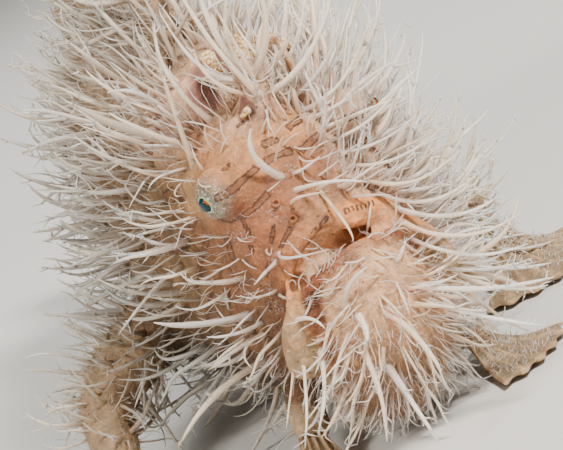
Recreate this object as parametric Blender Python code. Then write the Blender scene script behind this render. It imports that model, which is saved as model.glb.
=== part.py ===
# A hairy frogfish sitting on the floor, life size, as a still museum model.
# The fish faces -Y, its left side is +X, and the floor is z = 0. Lengths are in metres.
# Each solid is the flesh grown by the depth of the coat of skin filaments that stands on it.

import math

import bpy
import numpy as np
from mathutils import Vector

MM = 0.001

# Driving dimensions
BODY_LENGTH = 103 * MM  # snout to the root of the tail fin
SNOUT_HEIGHT = 31 * MM  # of the foremost point of the snout
COAT = 7.0 * MM  # how far the filaments' tips stand off the flesh of the trunk
FACE_COAT = 0.4 * MM
FIN_COAT = 0.9 * MM
PAW_COAT = 0.45 * MM
RAY_DEPTH = 1.7 * MM
WEB_DEPTH = 1.0 * MM
SOLE = 0.7 * MM  # height of the middle of a fin that lies on the floor
GAP = 0.3 * MM  # between touching solids
TAIL_SWAY = 9 * MM  # sideways curl of the tail fin's edge
SWAY_START = 55 * MM
SWAY_SPAN = 75 * MM

# Flesh outline of the body: distance behind the snout, top, bottom and half width
STATIONS = np.array([
    (0, 31, 31, 0),
    (2, 39.5, 24, 8.2),
    (5, 44.5, 17, 11.2),
    (9, 48, 11, 13.2),
    (16, 51.5, 7, 15.2),
    (26, 55.5, 4.3, 16.5),
    (40, 60, 3, 17),
    (56, 60, 3, 15),
    (70, 53, 8, 11),
    (82, 44, 15, 7.5),
    (92, 37.5, 21, 5),
    (103, 36, 24, 3),
]) * MM
BELLY_SHARE = 0.10  # how much wider the body is low down than high up
SQUARENESS = 2.35  # power of the cross section: 2 is an ellipse, and more is boxier
BELLY_COAT = 3.2 * MM  # the filaments under the belly are short

EYE_CENTRE = Vector((10.3, 5.8, 40.65)) * MM
EYE_RADIUS = 3.1 * MM
EYE_AXIS = Vector((0.96, -0.27, -0.08)).normalized()
ORBIT_SWELL = 2.2 * MM  # how far the skin round the eye stands out
ORBIT_SPREAD = 4.2 * MM

MOUTH_CENTRE = Vector((0, 0.5, 25)) * MM
MOUTH_SIZE = Vector((8.6, 5.5, 7.0)) * MM  # half sizes of the hollow of the mouth

LURE_ROOT = Vector((4.4, 14.6, 51.6)) * MM  # the lure lies in the bare hollow behind the second spine
HOLLOW_CENTRE = Vector((4.6, 16.6, 56.2)) * MM
HOLLOW_SIZE = Vector((10.0, 5.4, 7.6)) * MM

LIP_WIDTH = 10.6 * MM  # half width of the arch of the upper lip
LIP_TOP = 31.2 * MM
LIP_FRONT = -0.4 * MM
LIP_DROP = 17.4 * MM  # from the middle of the lip to the end of the jaw bone
LIP_DEPTH = 6.6 * MM
LIP_TURN = math.radians(104)  # how far the arch turns to each side of its middle
LIP_RADIUS = 1.7 * MM
JAW_KNOB_RADIUS = 2.7 * MM
JAW_CENTRE = Vector((0, 4.4, 14.8)) * MM
JAW_SIZE = Vector((12.3, 10.2, 12.5)) * MM  # with the filaments of the chin
JAW_TILT = math.radians(20)

CUT_NECK = 20 * MM
CUT_TAIL = 68 * MM

# Start, bend and tip of each free spine of the back, and the tips of the lure's three lobes, in mm
SECOND_SPINE = ((0, 8.6, 44), (1, 7.4, 55), (3.6, 5.6, 65.5))
THIRD_SPINE = ((0, 28, 50), (0, 30, 67), (0, 40, 75))
LURE_ROD = ((4.6, 6.4, 42), (8.4, 8.6, 59), (4.4, 14.6, 51.6))
LURE_TIPS = ((1.8, 17.0, 55.4), (7.6, 15.8, 56.2), (10.6, 15.6, 53.0))

BACK_FIN_START = 43 * MM
BACK_FIN_SPAN = 49 * MM
BACK_FIN_RAYS = 12
UNDER_FIN_START = 71 * MM
UNDER_FIN_SPAN = 20 * MM
UNDER_FIN_RAYS = 7
TAIL_FIN_START = 100 * MM
TAIL_FIN_RAYS = 9

# The left breast fin's arm and the left belly fin's leg
SHOULDER = Vector((14, 42, 20)) * MM
ELBOW = Vector((33, 47, 16)) * MM
WRIST = Vector((31.5, 37, 6)) * MM
ARM_RADII = (7.0 * MM, 3.9 * MM)
HAND_REACH = 16 * MM
HAND_RAYS = 10
HAND_SPREAD = (-38, 92)  # headings of the first and last ray, in degrees from straight ahead
HIP = Vector((7.5, 17, 12)) * MM
KNEE = Vector((11.5, 17, 7)) * MM
ANKLE = Vector((12.0, 12.5, 4.6)) * MM
LEG_END = ANKLE - Vector((0, 1.5, 0.4)) * MM
LEG_RADII = (3.4 * MM, 2.9 * MM)
FOOT_REACH = 14 * MM
FOOT_RAYS = 6
FOOT_SPREAD = (-8, 62)
KNUCKLE = 2.4 * MM  # how far from the middle of the wrist or ankle the rays begin

SKIN_PINK = (0.72, 0.47, 0.38)
FLANK_TAN = (0.55, 0.42, 0.31)
FILAMENT_WHITE = (0.80, 0.74, 0.68)
LIP_ORANGE = (0.70, 0.42, 0.29)
EYE_TEAL = (0.05, 0.22, 0.24)
LURE_GOLD = (0.74, 0.60, 0.34)


def clear_scene():
    for obj in list(bpy.data.objects):
        bpy.data.objects.remove(obj)


def material(name, colour, roughness=0.45):
    made = bpy.data.materials.get(name) or bpy.data.materials.new(name)
    made.use_nodes = True
    shader = made.node_tree.nodes["Principled BSDF"]
    shader.inputs["Base Color"].default_value = (*colour, 1)
    shader.inputs["Roughness"].default_value = roughness
    shader.inputs["Metallic"].default_value = 0
    return made


def sway(points):
    """Curls the hind end of the fish to its left."""
    points = np.array(points, float).reshape(-1, 3)
    share = np.clip((points[:, 1] - SWAY_START) / SWAY_SPAN, 0, None)
    points[:, 0] += TAIL_SWAY * share**2
    return points


def add_mesh(name, points, faces, look, sign=1):
    """An object from points and faces. Sign -1 mirrors it, for the right side of the fish."""
    points = np.array([tuple(p) for p in points])
    points[:, 0] *= sign
    mesh = bpy.data.meshes.new(name)
    mesh.from_pydata(sway(points).tolist(), [], [face[::sign] for face in faces])
    mesh.materials.append(look)
    mesh.validate()
    mesh.shade_smooth()
    mesh.set_sharp_from_angle(angle=math.radians(50))
    obj = bpy.data.objects.new(name, mesh)
    bpy.context.scene.collection.objects.link(obj)
    return obj


def boolean(obj, other, operation="DIFFERENCE"):
    cut = obj.modifiers.new(other.name, "BOOLEAN")
    cut.operation = operation
    cut.object = other


def helper(obj):
    """Marks an object that only cuts others."""
    obj.hide_render = True
    obj.display_type = "WIRE"
    return obj


def rings_to_solid(rings, start, end):
    """A closed skin over rings of points, anticlockwise seen from the start, with a pole at each end."""
    rings = np.array(rings, float)
    count, sides = rings.shape[:2]
    points = list(rings.reshape(-1, 3)) + [start, end]
    faces = []
    for i in range(count - 1):
        for j in range(sides):
            k = (j + 1) % sides
            faces.append((i * sides + k, i * sides + j, (i + 1) * sides + j, (i + 1) * sides + k))
    first, last = count * sides, count * sides + 1
    for j in range(sides):
        k = (j + 1) % sides
        faces.append((first, j, k))
        faces.append((last, (count - 1) * sides + k, (count - 1) * sides + j))
    return points, faces


def smooth_step(low, high, value):
    share = np.clip((value - low) / (high - low), 0, 1)
    return share * share * (3 - 2 * share)


def station(y, column):
    """A body outline value at a distance behind the snout. The root makes the snout round."""
    along = np.sqrt(np.clip(STATIONS[:, 0] / BODY_LENGTH, 0, 1))
    return np.interp(np.sqrt(np.clip(y / BODY_LENGTH, 0, 1)), along, STATIONS[:, column])


def smooth_station(y, column, reach=0.035):
    """The outline value averaged over its surroundings, so that no kink shows at a station."""
    here = np.sqrt(np.clip(y / BODY_LENGTH, 0, 1))
    around = [np.clip(here + reach * step * here, 0, 1) for step in (-1, -0.5, 0, 0.5, 1)]
    return float(np.mean([station(a * a * BODY_LENGTH, column) for a in around]))


def coat_depth(y):
    """The coat is short on the face, deepest over the trunk, and thins towards the tail."""
    grown = FACE_COAT + (COAT - FACE_COAT) * smooth_step(5 * MM, 19 * MM, y)
    return grown - 0.45 * COAT * smooth_step(60 * MM, BODY_LENGTH, y)


def rounded(value):
    return math.copysign(abs(value) ** (2 / SQUARENESS), value)


def body_ring(y, sides, grow, extra):
    """One cross section of the body: a boxy egg, widest low down, with the swellings round the eyes."""
    top = smooth_station(y, 1) + grow + extra
    bottom = smooth_station(y, 2) - min(grow, BELLY_COAT) - extra
    width = smooth_station(y, 3) + grow + extra
    middle = (top + bottom) / 2
    half = (top - bottom) / 2
    ring = []
    for i in range(sides):
        angle = 2 * math.pi * i / sides
        rise = rounded(math.sin(angle))
        x = width * rounded(math.cos(angle)) * (1 - BELLY_SHARE * rise)
        z = middle + half * rise
        away = Vector((abs(x), y, z)) - EYE_CENTRE
        x += math.copysign(ORBIT_SWELL * math.exp(-(away.length / ORBIT_SPREAD) ** 2), x)
        ring.append((x, y, z))
    return ring


def body(name, look, extra=0.0, rings=25, sides=30):
    """The whole body from snout to tail root, grown by its coat and by an extra depth."""
    places = [(0.11 + 0.89 * i / (rings - 1)) ** 2 * BODY_LENGTH for i in range(rings)]
    drawn = [body_ring(y, sides, coat_depth(y), extra) for y in places]
    snout = (0, -FACE_COAT - extra, SNOUT_HEIGHT)
    root = (0, BODY_LENGTH + 1.5 * MM + extra, (STATIONS[-1, 1] + STATIONS[-1, 2]) / 2)
    points, faces = rings_to_solid(drawn, snout, root)
    return add_mesh(name, points, faces, look)


def box(name, low, high):
    """A box between two corners, for cutting."""
    bpy.ops.mesh.primitive_cube_add(size=1)
    made = bpy.context.object
    made.name = name
    low, high = Vector(low), Vector(high)
    made.location = (low + high) / 2
    made.scale = high - low
    return helper(made)


def ellipsoid(name, centre, half_sizes, tilt=0.0, columns=16, rows=9):
    bpy.ops.mesh.primitive_uv_sphere_add(segments=columns, ring_count=rows, radius=1)
    made = bpy.context.object
    made.name = name
    made.location = centre
    made.scale = half_sizes
    made.rotation_euler = (tilt, 0, 0)
    return made


def tube_points(path, radii, sides):
    """A closed tube along a path of points. Each ring is square to the path."""
    path = [Vector(p) for p in path]
    rings = []
    side = Vector((1, 0, 0))
    for i, centre in enumerate(path):
        ahead = (path[min(i + 1, len(path) - 1)] - path[max(i - 1, 0)]).normalized()
        side = (side - ahead * side.dot(ahead)).normalized()
        across = ahead.cross(side)
        ring = []
        for j in range(sides):
            angle = 2 * math.pi * j / sides
            ring.append(centre + side * radii[i] * math.cos(angle) + across * radii[i] * math.sin(angle))
        rings.append(ring)
    start = path[0] - (path[1] - path[0]).normalized() * radii[0] * 0.6
    end = path[-1] + (path[-1] - path[-2]).normalized() * radii[-1] * 0.6
    return rings_to_solid(rings[::-1], end, start)


def bent_path(start, bend, end, steps):
    """A quadratic curve that leaves start towards bend and arrives at end."""
    start, bend, end = Vector(start), Vector(bend), Vector(end)
    shares = [i / (steps - 1) for i in range(steps)]
    return [start * (1 - t) ** 2 + bend * 2 * t * (1 - t) + end * t * t for t in shares]


def horn(name, start, bend, end, thick, thin, look, sign=1, steps=9, sides=12, swell=0.0):
    """A tapering fleshy spine or limb. A swell widens it halfway, where its filaments fan out."""
    path = bent_path(start, bend, end, steps)
    shares = [i / (steps - 1) for i in range(steps)]
    radii = [thick + (thin - thick) * t + swell * math.sin(math.pi * t) for t in shares]
    radii[-1] *= 0.75
    points, faces = tube_points(path, radii, sides)
    return add_mesh(name, points, faces, look, sign)


def lip_path(steps):
    """The arch of the upper jaw, between the knobs at the two corners of the mouth."""
    path = []
    for i in range(steps):
        turn = LIP_TURN * (2 * i / (steps - 1) - 1)
        drop = (1 - math.cos(turn)) / (1 - math.cos(LIP_TURN))
        path.append(Vector((
            -LIP_WIDTH * math.sin(turn),
            LIP_DEPTH * drop + LIP_FRONT,
            LIP_TOP - LIP_DROP * drop,
        )))
    return path


def upper_jaw(name, look, extra=0.0, steps=25, sides=10):
    path = lip_path(steps)
    radii = []
    for i in range(steps):
        end_share = abs(2 * i / (steps - 1) - 1)
        radii.append(LIP_RADIUS + (JAW_KNOB_RADIUS - LIP_RADIUS) * end_share**3 + extra)
    points, faces = tube_points(path, radii, sides)
    return add_mesh(name, points, faces, look)


def fin(name, base, way, length, rays, look, sign=1, rows=6, coat=FIN_COAT, webbed=0.9):
    """A fin of soft rays joined by web. Base, way and length are functions of the share along the base."""
    columns = (rays - 1) * 2 + 1
    sheet = np.zeros((columns, rows, 3))
    half = np.zeros((columns, rows, 1))
    for i in range(columns):
        share = i / (columns - 1)
        on_ray = i % 2 == 0
        reach = length(share) * (1 if on_ray else webbed)
        for j in range(rows):
            out = j / (rows - 1)
            sheet[i, j] = Vector(base(share)) + Vector(way(share, out)) * reach * out
            half[i, j] = ((RAY_DEPTH if on_ray else WEB_DEPTH) / 2 + coat) * (1 - 0.35 * out)
    square = np.cross(np.gradient(sheet, axis=0), np.gradient(sheet, axis=1))
    square /= np.linalg.norm(square, axis=2, keepdims=True)
    sides = (sheet + square * half, sheet - square * half)
    points = np.concatenate([side.reshape(-1, 3) for side in sides])
    under = columns * rows
    faces = []
    for i in range(columns - 1):
        for j in range(rows - 1):
            corner = i * rows + j
            quad = (corner, corner + rows, corner + rows + 1, corner + 1)
            faces.append(quad)
            faces.append(tuple(under + c for c in reversed(quad)))
    rim = [i * rows for i in range(columns)]
    rim += [(columns - 1) * rows + j for j in range(1, rows)]
    rim += [i * rows + rows - 1 for i in range(columns - 2, -1, -1)]
    rim += [j for j in range(rows - 2, 0, -1)]
    for here, after in zip(rim, rim[1:] + rim[:1]):
        faces.append((here, under + here, under + after, after))
    return add_mesh(name, points, faces, look, sign)


def side_name(word, sign):
    return f"{word}_left" if sign > 0 else f"{word}_right"


def build_body(looks, cutters):
    """Head, trunk and tail stem, parted by thin cuts, and the jaws and eyes that sit in the head."""
    far = 200 * MM
    head = body("head", looks["face"])
    boolean(head, box("front_half", (-far, -far, -far), (far, CUT_NECK - GAP / 2, far)), "INTERSECT")
    boolean(head, helper(ellipsoid("mouth_hollow", MOUTH_CENTRE, MOUTH_SIZE)))
    trunk = body("trunk", looks["flank"])
    middle = box("middle", (-far, CUT_NECK + GAP / 2, -far), (far, CUT_TAIL - GAP / 2, far))
    boolean(trunk, middle, "INTERSECT")
    stem = body("tail_stem", looks["flank"])
    boolean(stem, box("hind_part", (-far, CUT_TAIL + GAP / 2, -far), (far, far, far)), "INTERSECT")
    for piece in (head, trunk):
        boolean(piece, cutters["hollow"])
        boolean(piece, cutters["floor"])

    lip = upper_jaw("upper_jaw", looks["lip"])
    boolean(lip, cutters["body"])
    jaw = ellipsoid("lower_jaw", JAW_CENTRE, JAW_SIZE, JAW_TILT, columns=22, rows=13)
    jaw.data.materials.append(looks["face"])
    jaw.data.shade_smooth()
    boolean(jaw, cutters["body"])
    boolean(jaw, helper(upper_jaw("lip_room", looks["lip"], extra=GAP)))
    for sign in (-1, 1):
        centre = Vector((sign * EYE_CENTRE.x, EYE_CENTRE.y, EYE_CENTRE.z))
        eye = ellipsoid(side_name("eye", sign), centre, Vector((1, 1, 1)) * EYE_RADIUS)
        axis = Vector((sign * EYE_AXIS.x, EYE_AXIS.y, EYE_AXIS.z))
        eye.rotation_mode = "QUATERNION"
        eye.rotation_quaternion = axis.to_track_quat("Z", "Y")
        eye.data.materials.append(looks["eye"])
        eye.data.shade_smooth()
        socket = ellipsoid(side_name("socket", sign), centre, Vector((1, 1, 1)) * (EYE_RADIUS + GAP))
        boolean(head, helper(socket))


def build_back_spines(looks, cutters):
    """The lure with its rod, and the two fleshy spines behind it."""
    white = looks["filament"]
    gold = looks["lure"]
    second_line = [Vector(p) * MM for p in SECOND_SPINE]
    second = horn("dorsal_spine_second", *second_line, 2.8 * MM, 1.6 * MM, white, steps=11, swell=2.6 * MM)
    boolean(second, cutters["body"])
    third_line = [Vector(p) * MM for p in THIRD_SPINE]
    third = horn("dorsal_spine_third", *third_line, 6.0 * MM, 3.0 * MM, looks["flank"])
    boolean(third, cutters["body"])
    boolean(third, cutters["hollow"])
    rod_line = [Vector(p) * MM for p in LURE_ROD]
    rod = horn("lure_rod", *rod_line, 0.55 * MM, 0.45 * MM, white, steps=12, sides=8)
    boolean(rod, cutters["body"])
    boolean(rod, helper(ellipsoid("lure_room", LURE_ROOT, Vector((1, 1, 1)) * 1.9 * MM)))
    fingers = []
    for index, tip in enumerate(Vector(p) * MM for p in LURE_TIPS):
        bend = (LURE_ROOT + tip) / 2 + Vector((0, 0.6, 0.9)) * MM
        name = "lure" if index == 0 else f"lure_finger_{index}"
        thick = 1.2 * MM
        lobe = horn(name, LURE_ROOT, bend, tip, thick, thick, gold, steps=6, sides=8, swell=0.5 * MM)
        fingers.append(lobe)
    for other in fingers[1:]:
        boolean(fingers[0], helper(other), "UNION")
    boolean(fingers[0], cutters["body"])


def build_middle_fins(looks, cutters):
    """The long fin on the back, the fin under the tail, and the tail fin."""
    skin = looks["flank"]

    def back_base(share):
        y = BACK_FIN_START + BACK_FIN_SPAN * share
        return (0, y, smooth_station(y, 1) - 1.5 * MM)

    def back_way(share, out):
        lean = math.radians(28 + 24 * share + 12 * out)
        return (0, math.sin(lean), math.cos(lean))

    def back_reach(share):
        return (16 + 5 * math.sin(math.pi * min(1, share * 0.9 + 0.1))) * MM

    back = fin("dorsal_fin", back_base, back_way, back_reach, BACK_FIN_RAYS, skin)

    def under_base(share):
        y = UNDER_FIN_START + UNDER_FIN_SPAN * share
        return (0, y, smooth_station(y, 2) + 1.5 * MM)

    def under_way(share, out):
        lean = math.radians(54 + 10 * share + 12 * out)
        return (0, math.sin(lean), -math.cos(lean))

    def under_reach(share):
        return (12 + 3.5 * math.sin(math.pi * min(1, share + 0.15))) * MM

    under = fin("anal_fin", under_base, under_way, under_reach, UNDER_FIN_RAYS, skin)

    def tail_base(share):
        return (0, TAIL_FIN_START + 1.5 * math.sin(math.pi * share) * MM, (24.5 + 11 * share) * MM)

    def tail_way(share, out):
        spread = math.radians(-36 + 74 * share)
        return (0, math.cos(spread), math.sin(spread))

    def tail_reach(share):
        return (26 + 4 * math.sin(math.pi * share)) * MM

    tail = fin("caudal_fin", tail_base, tail_way, tail_reach, TAIL_FIN_RAYS, skin, rows=8)
    for piece in (back, under, tail):
        boolean(piece, cutters["body"])


def build_paired_fins(looks, cutters):
    """The arm-like breast fins, and in front of them the small belly fins, all flat on the floor."""
    skin = looks["flank"]
    wider = [radius + GAP for radius in ARM_RADII]
    jaw_room = helper(ellipsoid("jaw_room", JAW_CENTRE, JAW_SIZE + Vector((GAP, GAP, GAP)), JAW_TILT))
    for sign in (-1, 1):
        arm = horn(side_name("pectoral_arm", sign), SHOULDER, ELBOW, WRIST, *ARM_RADII, skin, sign)
        arm_room = horn(side_name("arm_room", sign), SHOULDER, ELBOW, WRIST, *wider, skin, sign)
        boolean(arm, cutters["body"])
        boolean(arm, cutters["floor"])
        name = side_name("pectoral_fin", sign)
        hand = paw(name, WRIST, HAND_SPREAD, HAND_REACH, HAND_RAYS, skin, sign)
        boolean(hand, cutters["body"])
        boolean(hand, helper(arm_room))
        boolean(hand, cutters["floor"])
        name = side_name("pelvic_fin", sign)
        foot = paw(name, ANKLE, FOOT_SPREAD, FOOT_REACH, FOOT_RAYS, skin, sign)
        leg = horn(side_name("leg", sign), HIP, KNEE, LEG_END, *LEG_RADII, skin, sign)
        boolean(foot, helper(leg), "UNION")
        boolean(foot, cutters["body"])
        boolean(foot, jaw_room)
        boolean(foot, cutters["floor"])


def paw(name, wrist, spread, reach, rays, look, sign):
    """A fin used as a foot. Its rays spread forwards and outwards and lie down on the floor."""
    ray = reach - KNUCKLE

    def heading(share):
        turn = math.radians(spread[0] + (spread[1] - spread[0]) * share)
        return Vector((math.sin(turn), -math.cos(turn), 0))

    def base(share):
        return wrist + heading(share) * KNUCKLE

    def way(share, out):
        fall = (wrist.z - SOLE) * (1 - (1 - min(1, out * 1.5)) ** 2)
        return heading(share) - Vector((0, 0, fall / (ray * max(out, 0.05))))

    return fin(name, base, way, lambda share: ray, rays, look, sign, rows=7, coat=PAW_COAT)


def centre_on_box():
    """Moves everything level, so that the middle of the fish's own box stands over the origin."""
    bpy.context.view_layer.update()
    graph = bpy.context.evaluated_depsgraph_get()
    reach = []
    for obj in bpy.data.objects:
        if not obj.hide_render:
            shape = obj.evaluated_get(graph)
            points = np.array([tuple(shape.matrix_world @ v.co) for v in shape.data.vertices])
            reach += [points.min(axis=0), points.max(axis=0)]
    middle = (np.max(reach, axis=0) + np.min(reach, axis=0)) / 2
    for obj in bpy.data.objects:
        obj.location.x -= middle[0]
        obj.location.y -= middle[1]


def main():
    clear_scene()
    looks = {
        "face": material("face_skin", SKIN_PINK, 0.38),
        "flank": material("flank_skin", FLANK_TAN, 0.45),
        "filament": material("filament_skin", FILAMENT_WHITE, 0.35),
        "lip": material("lip_skin", LIP_ORANGE, 0.35),
        "eye": material("eye_lens", EYE_TEAL, 0.08),
        "lure": material("lure_skin", LURE_GOLD, 0.5),
    }
    hollow = helper(ellipsoid("lure_hollow_room", HOLLOW_CENTRE, HOLLOW_SIZE - Vector((GAP, GAP, GAP))))
    cutters = {
        "hollow": helper(ellipsoid("lure_hollow", HOLLOW_CENTRE, HOLLOW_SIZE)),
        "body": helper(body("body_room", looks["flank"], extra=GAP)),
        "floor": box("below_floor", (-200 * MM, -200 * MM, -50 * MM), (200 * MM, 200 * MM, 0)),
    }
    boolean(cutters["body"], hollow)
    build_body(looks, cutters)
    build_back_spines(looks, cutters)
    build_middle_fins(looks, cutters)
    build_paired_fins(looks, cutters)
    centre_on_box()


main()
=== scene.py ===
import math

import bmesh
import bpy
import numpy as np
from mathutils import Matrix, Vector
from mathutils.bvhtree import BVHTree
from mathutils.kdtree import KDTree


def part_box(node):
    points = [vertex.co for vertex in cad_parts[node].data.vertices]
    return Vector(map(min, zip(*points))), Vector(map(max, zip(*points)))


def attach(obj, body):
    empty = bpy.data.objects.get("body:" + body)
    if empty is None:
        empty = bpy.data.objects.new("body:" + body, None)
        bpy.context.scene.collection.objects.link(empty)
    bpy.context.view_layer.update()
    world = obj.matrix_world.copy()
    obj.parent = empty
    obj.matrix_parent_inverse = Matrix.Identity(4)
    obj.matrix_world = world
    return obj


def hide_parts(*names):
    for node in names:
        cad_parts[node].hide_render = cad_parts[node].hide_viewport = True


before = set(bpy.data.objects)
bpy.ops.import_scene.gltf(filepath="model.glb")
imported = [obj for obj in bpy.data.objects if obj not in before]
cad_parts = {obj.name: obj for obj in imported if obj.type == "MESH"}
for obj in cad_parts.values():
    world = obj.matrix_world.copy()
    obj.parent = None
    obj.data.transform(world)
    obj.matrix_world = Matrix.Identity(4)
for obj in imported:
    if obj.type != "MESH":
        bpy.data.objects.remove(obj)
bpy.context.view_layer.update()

# Shapes are worked out in millimetres in the fish's own space: y = 0 at the upper lip, +x is its left side,
# and the floor is z = 0. toFrameMm turns them into the frame's millimetres.
metre = 1000.0
fish = {
    "length": 103.0,                      # snout to the root of the tail fin
    "snoutHeight": 31.0,
    "bellyShare": 0.10,                   # how much wider the body is low down
    "boxiness": 2.35,                     # power of the cross section
    "eyeCentre": (10.3, 5.8, 40.65), "orbitSwell": 2.2, "orbitSpread": 4.2,
    "swayStart": 55.0, "swaySpan": 75.0, "tailSway": 9.0,
    "gaze": (0, -14, 30),                 # the coat points away from here
    # distance behind the snout, top, bottom, half width of the flesh
    "outline": np.array([
        (0, 31, 31, 0), (2, 39.5, 24, 8.2), (5, 44.5, 17, 11.2), (9, 48, 11, 13.2), (16, 51.5, 7, 15.2),
        (26, 55.5, 4.3, 16.5), (40, 60, 3, 17), (56, 60, 3, 15), (70, 53, 8, 11), (82, 44, 15, 7.5),
        (92, 37.5, 21, 5), (103, 36, 24, 3),
    ], float),
}
eyeLow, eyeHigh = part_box("eye_left")
shiftY = (eyeLow.y + eyeHigh.y) / 2 * metre - fish["eyeCentre"][1]   # where the frame's origin puts the lip


def smoothStep(low, high, value):
    share = np.clip((np.asarray(value, float) - low) / (high - low), 0, 1)
    return share * share * (3 - 2 * share)


def unit(vectors):
    return vectors / np.maximum(np.linalg.norm(vectors, axis=-1, keepdims=True), 1e-9)


def columnsOf(*parts):
    return np.stack(np.broadcast_arrays(*parts), -1)


def swayAt(y):
    # sideways curl of the tail: the square of the distance past its start
    return fish["tailSway"] * np.clip((y - fish["swayStart"]) / fish["swaySpan"], 0, None) ** 2


def toFrameMm(points):
    points = np.array(points, float)
    points[..., 0] += swayAt(points[..., 1])
    points[..., 1] += shiftY
    return points


def fromFrameMm(points):
    points = np.array(points, float)
    points[..., 1] -= shiftY
    points[..., 0] -= swayAt(points[..., 1])
    return points


def tone(code):
    # an sRGB hex colour turned linear
    parts = np.array([int(code[i:i + 2], 16) / 255 for i in (1, 3, 5)])
    linear = np.where(parts <= 0.04045, parts / 12.92, ((parts + 0.055) / 1.055) ** 2.4)
    return (*linear.tolist(), 1.0)


def tones(codes):
    return np.array([tone(code)[:3] for code in codes])


def valueNoise(points, size, seed):
    # -1 to 1: random values on a lattice of the given size, blended with smooth steps between its corners
    cell = np.floor(points / size).astype(np.int64)
    part = points / size - cell
    part = part * part * (3 - 2 * part)
    total = np.zeros(points.shape[:-1])
    for corner in np.ndindex(2, 2, 2):
        at = cell + np.array(corner)
        mixed = at[..., 0] * 374761393 + at[..., 1] * 668265263 + at[..., 2] * 974634777 + seed * 362437
        mixed = ((mixed & 0xffffffff) ^ ((mixed & 0xffffffff) >> 13)) * 1274126177 & 0xffffffff
        value = (mixed ^ (mixed >> 16)) / 2147483648.0 - 1
        total += value * np.prod(np.where(np.array(corner) == 1, part, 1 - part), axis=-1)
    return total


noTris = np.zeros((0, 3), int)


def meshFromArrays(name, points, quads, tris=noTris, smooth=True):
    # points (n, 3) in the units given, quads (n, 4) and triangles (n, 3) as whole arrays
    mesh = bpy.data.meshes.new(name)
    mesh.vertices.add(len(points))
    mesh.vertices.foreach_set("co", np.ascontiguousarray(points, np.float32).ravel())
    loops = np.concatenate([quads.ravel(), tris.ravel()]).astype(np.int32)
    starts = np.concatenate([np.arange(len(quads)) * 4, len(quads) * 4 + np.arange(len(tris)) * 3])
    mesh.loops.add(len(loops))
    mesh.loops.foreach_set("vertex_index", loops)
    mesh.polygons.add(len(starts))
    mesh.polygons.foreach_set("loop_start", starts.astype(np.int32))
    mesh.update(calc_edges=True)
    if smooth:
        mesh.shade_smooth()
    return mesh


def addObject(name, data):
    made = bpy.data.objects.new(name, data)
    bpy.context.scene.collection.objects.link(made)
    return made


def readArray(items, key, kind=np.float32, width=3):
    values = np.zeros(len(items) * width, kind)
    items.foreach_get(key, values)
    return values.reshape(-1, width)


def meshArrays(mesh):
    # the points and their normals
    return [readArray(mesh.vertices, key).astype(float) for key in ("co", "normal")]


def meshTris(mesh):
    mesh.calc_loop_triangles()
    return readArray(mesh.loop_triangles, "vertices", np.int32)


def movePoints(mesh, points):
    mesh.vertices.foreach_set("co", points.astype(np.float32).ravel())
    mesh.update()


def joinedMesh(name, meshes):
    # the given meshes in one; they are removed
    whole = bmesh.new()
    for mesh in meshes:
        whole.from_mesh(mesh)
        bpy.data.meshes.remove(mesh)
    made = bpy.data.meshes.new(name)
    whole.to_mesh(made)
    whole.free()
    return made


def outward(points, quads, tris):
    # turns a closed mesh right side out, by the sign of its volume
    corners = np.concatenate([quads[:, [0, 1, 2]], quads[:, [0, 2, 3]], tris])
    if np.linalg.det(points[corners]).sum() < 0:
        return quads[:, ::-1], tris[:, ::-1]
    return quads, tris


def mirrored(shape):
    points, quads, tris = shape
    return points * (-1, 1, 1), quads[:, ::-1], tris[:, ::-1]


def ringQuads(count, sides):
    # the quads between rings of points, with the ring and the side of each
    i, j = (a.ravel() for a in np.meshgrid(np.arange(count - 1), np.arange(sides), indexing="ij"))
    after = (j + 1) % sides
    quads = np.stack([i * sides + j, i * sides + after, (i + 1) * sides + after, (i + 1) * sides + j], -1)
    return quads, i, j


def closedRings(rings, start, end):
    # rings (count, sides, 3) joined by quads, closed by a fan of triangles at each pole
    count, sides = rings.shape[:2]
    points = np.concatenate([rings.reshape(-1, 3), [start, end]])
    side, last, pole = np.arange(sides), (count - 1) * sides, np.full(sides, count * sides)
    beyond = (side + 1) % sides
    tris = np.concatenate([np.stack([beyond, side, pole], -1),
                           np.stack([last + side, last + beyond, pole + 1], -1)])
    return (points, *outward(points, ringQuads(count, sides)[0], tris))


def circle(sides, side, across):
    # a ring of points round the middle of the plane of two directions (..., 3)
    turn = 2 * np.pi * np.arange(sides) / sides
    return np.cos(turn)[:, None] * side[..., None, :] + np.sin(turn)[:, None] * across[..., None, :]


def tube(path, radii, sides):
    # rings of the given radii, square to a path of points; the ends are rounded off
    ahead = unit(np.gradient(path, axis=0))
    ref = np.array((1.0, 0, 0)) if abs(ahead[0, 0]) < 0.8 else np.array((0, 0, 1.0))
    side = unit(ref - ahead * (ahead @ ref)[:, None])
    rings = path[:, None] + circle(sides, side, np.cross(ahead, side)) * radii[:, None, None]
    return closedRings(rings, path[0] - ahead[0] * radii[0] * 0.6, path[-1] + ahead[-1] * radii[-1] * 0.6)


def bentPath(start, bend, end, steps):
    # a quadratic curve that leaves start towards bend and arrives at end
    t = np.linspace(0, 1, steps)[:, None]
    return np.array(start) * (1 - t) ** 2 + np.array(bend) * 2 * t * (1 - t) + np.array(end) * t * t


def horn(start, bend, end, thick, thin, swell=0.0, steps=26, sides=26):
    # a tapering fleshy rod along a bent path
    t = np.linspace(0, 1, steps)
    radii = thick + (thin - thick) * t + swell * np.sin(np.pi * t)
    radii *= np.sqrt(np.clip(1 - np.clip((t - 0.9) / 0.1, 0, 1) ** 2 * 0.8, 0, 1))
    return tube(bentPath(start, bend, end, steps), radii, sides)


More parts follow.
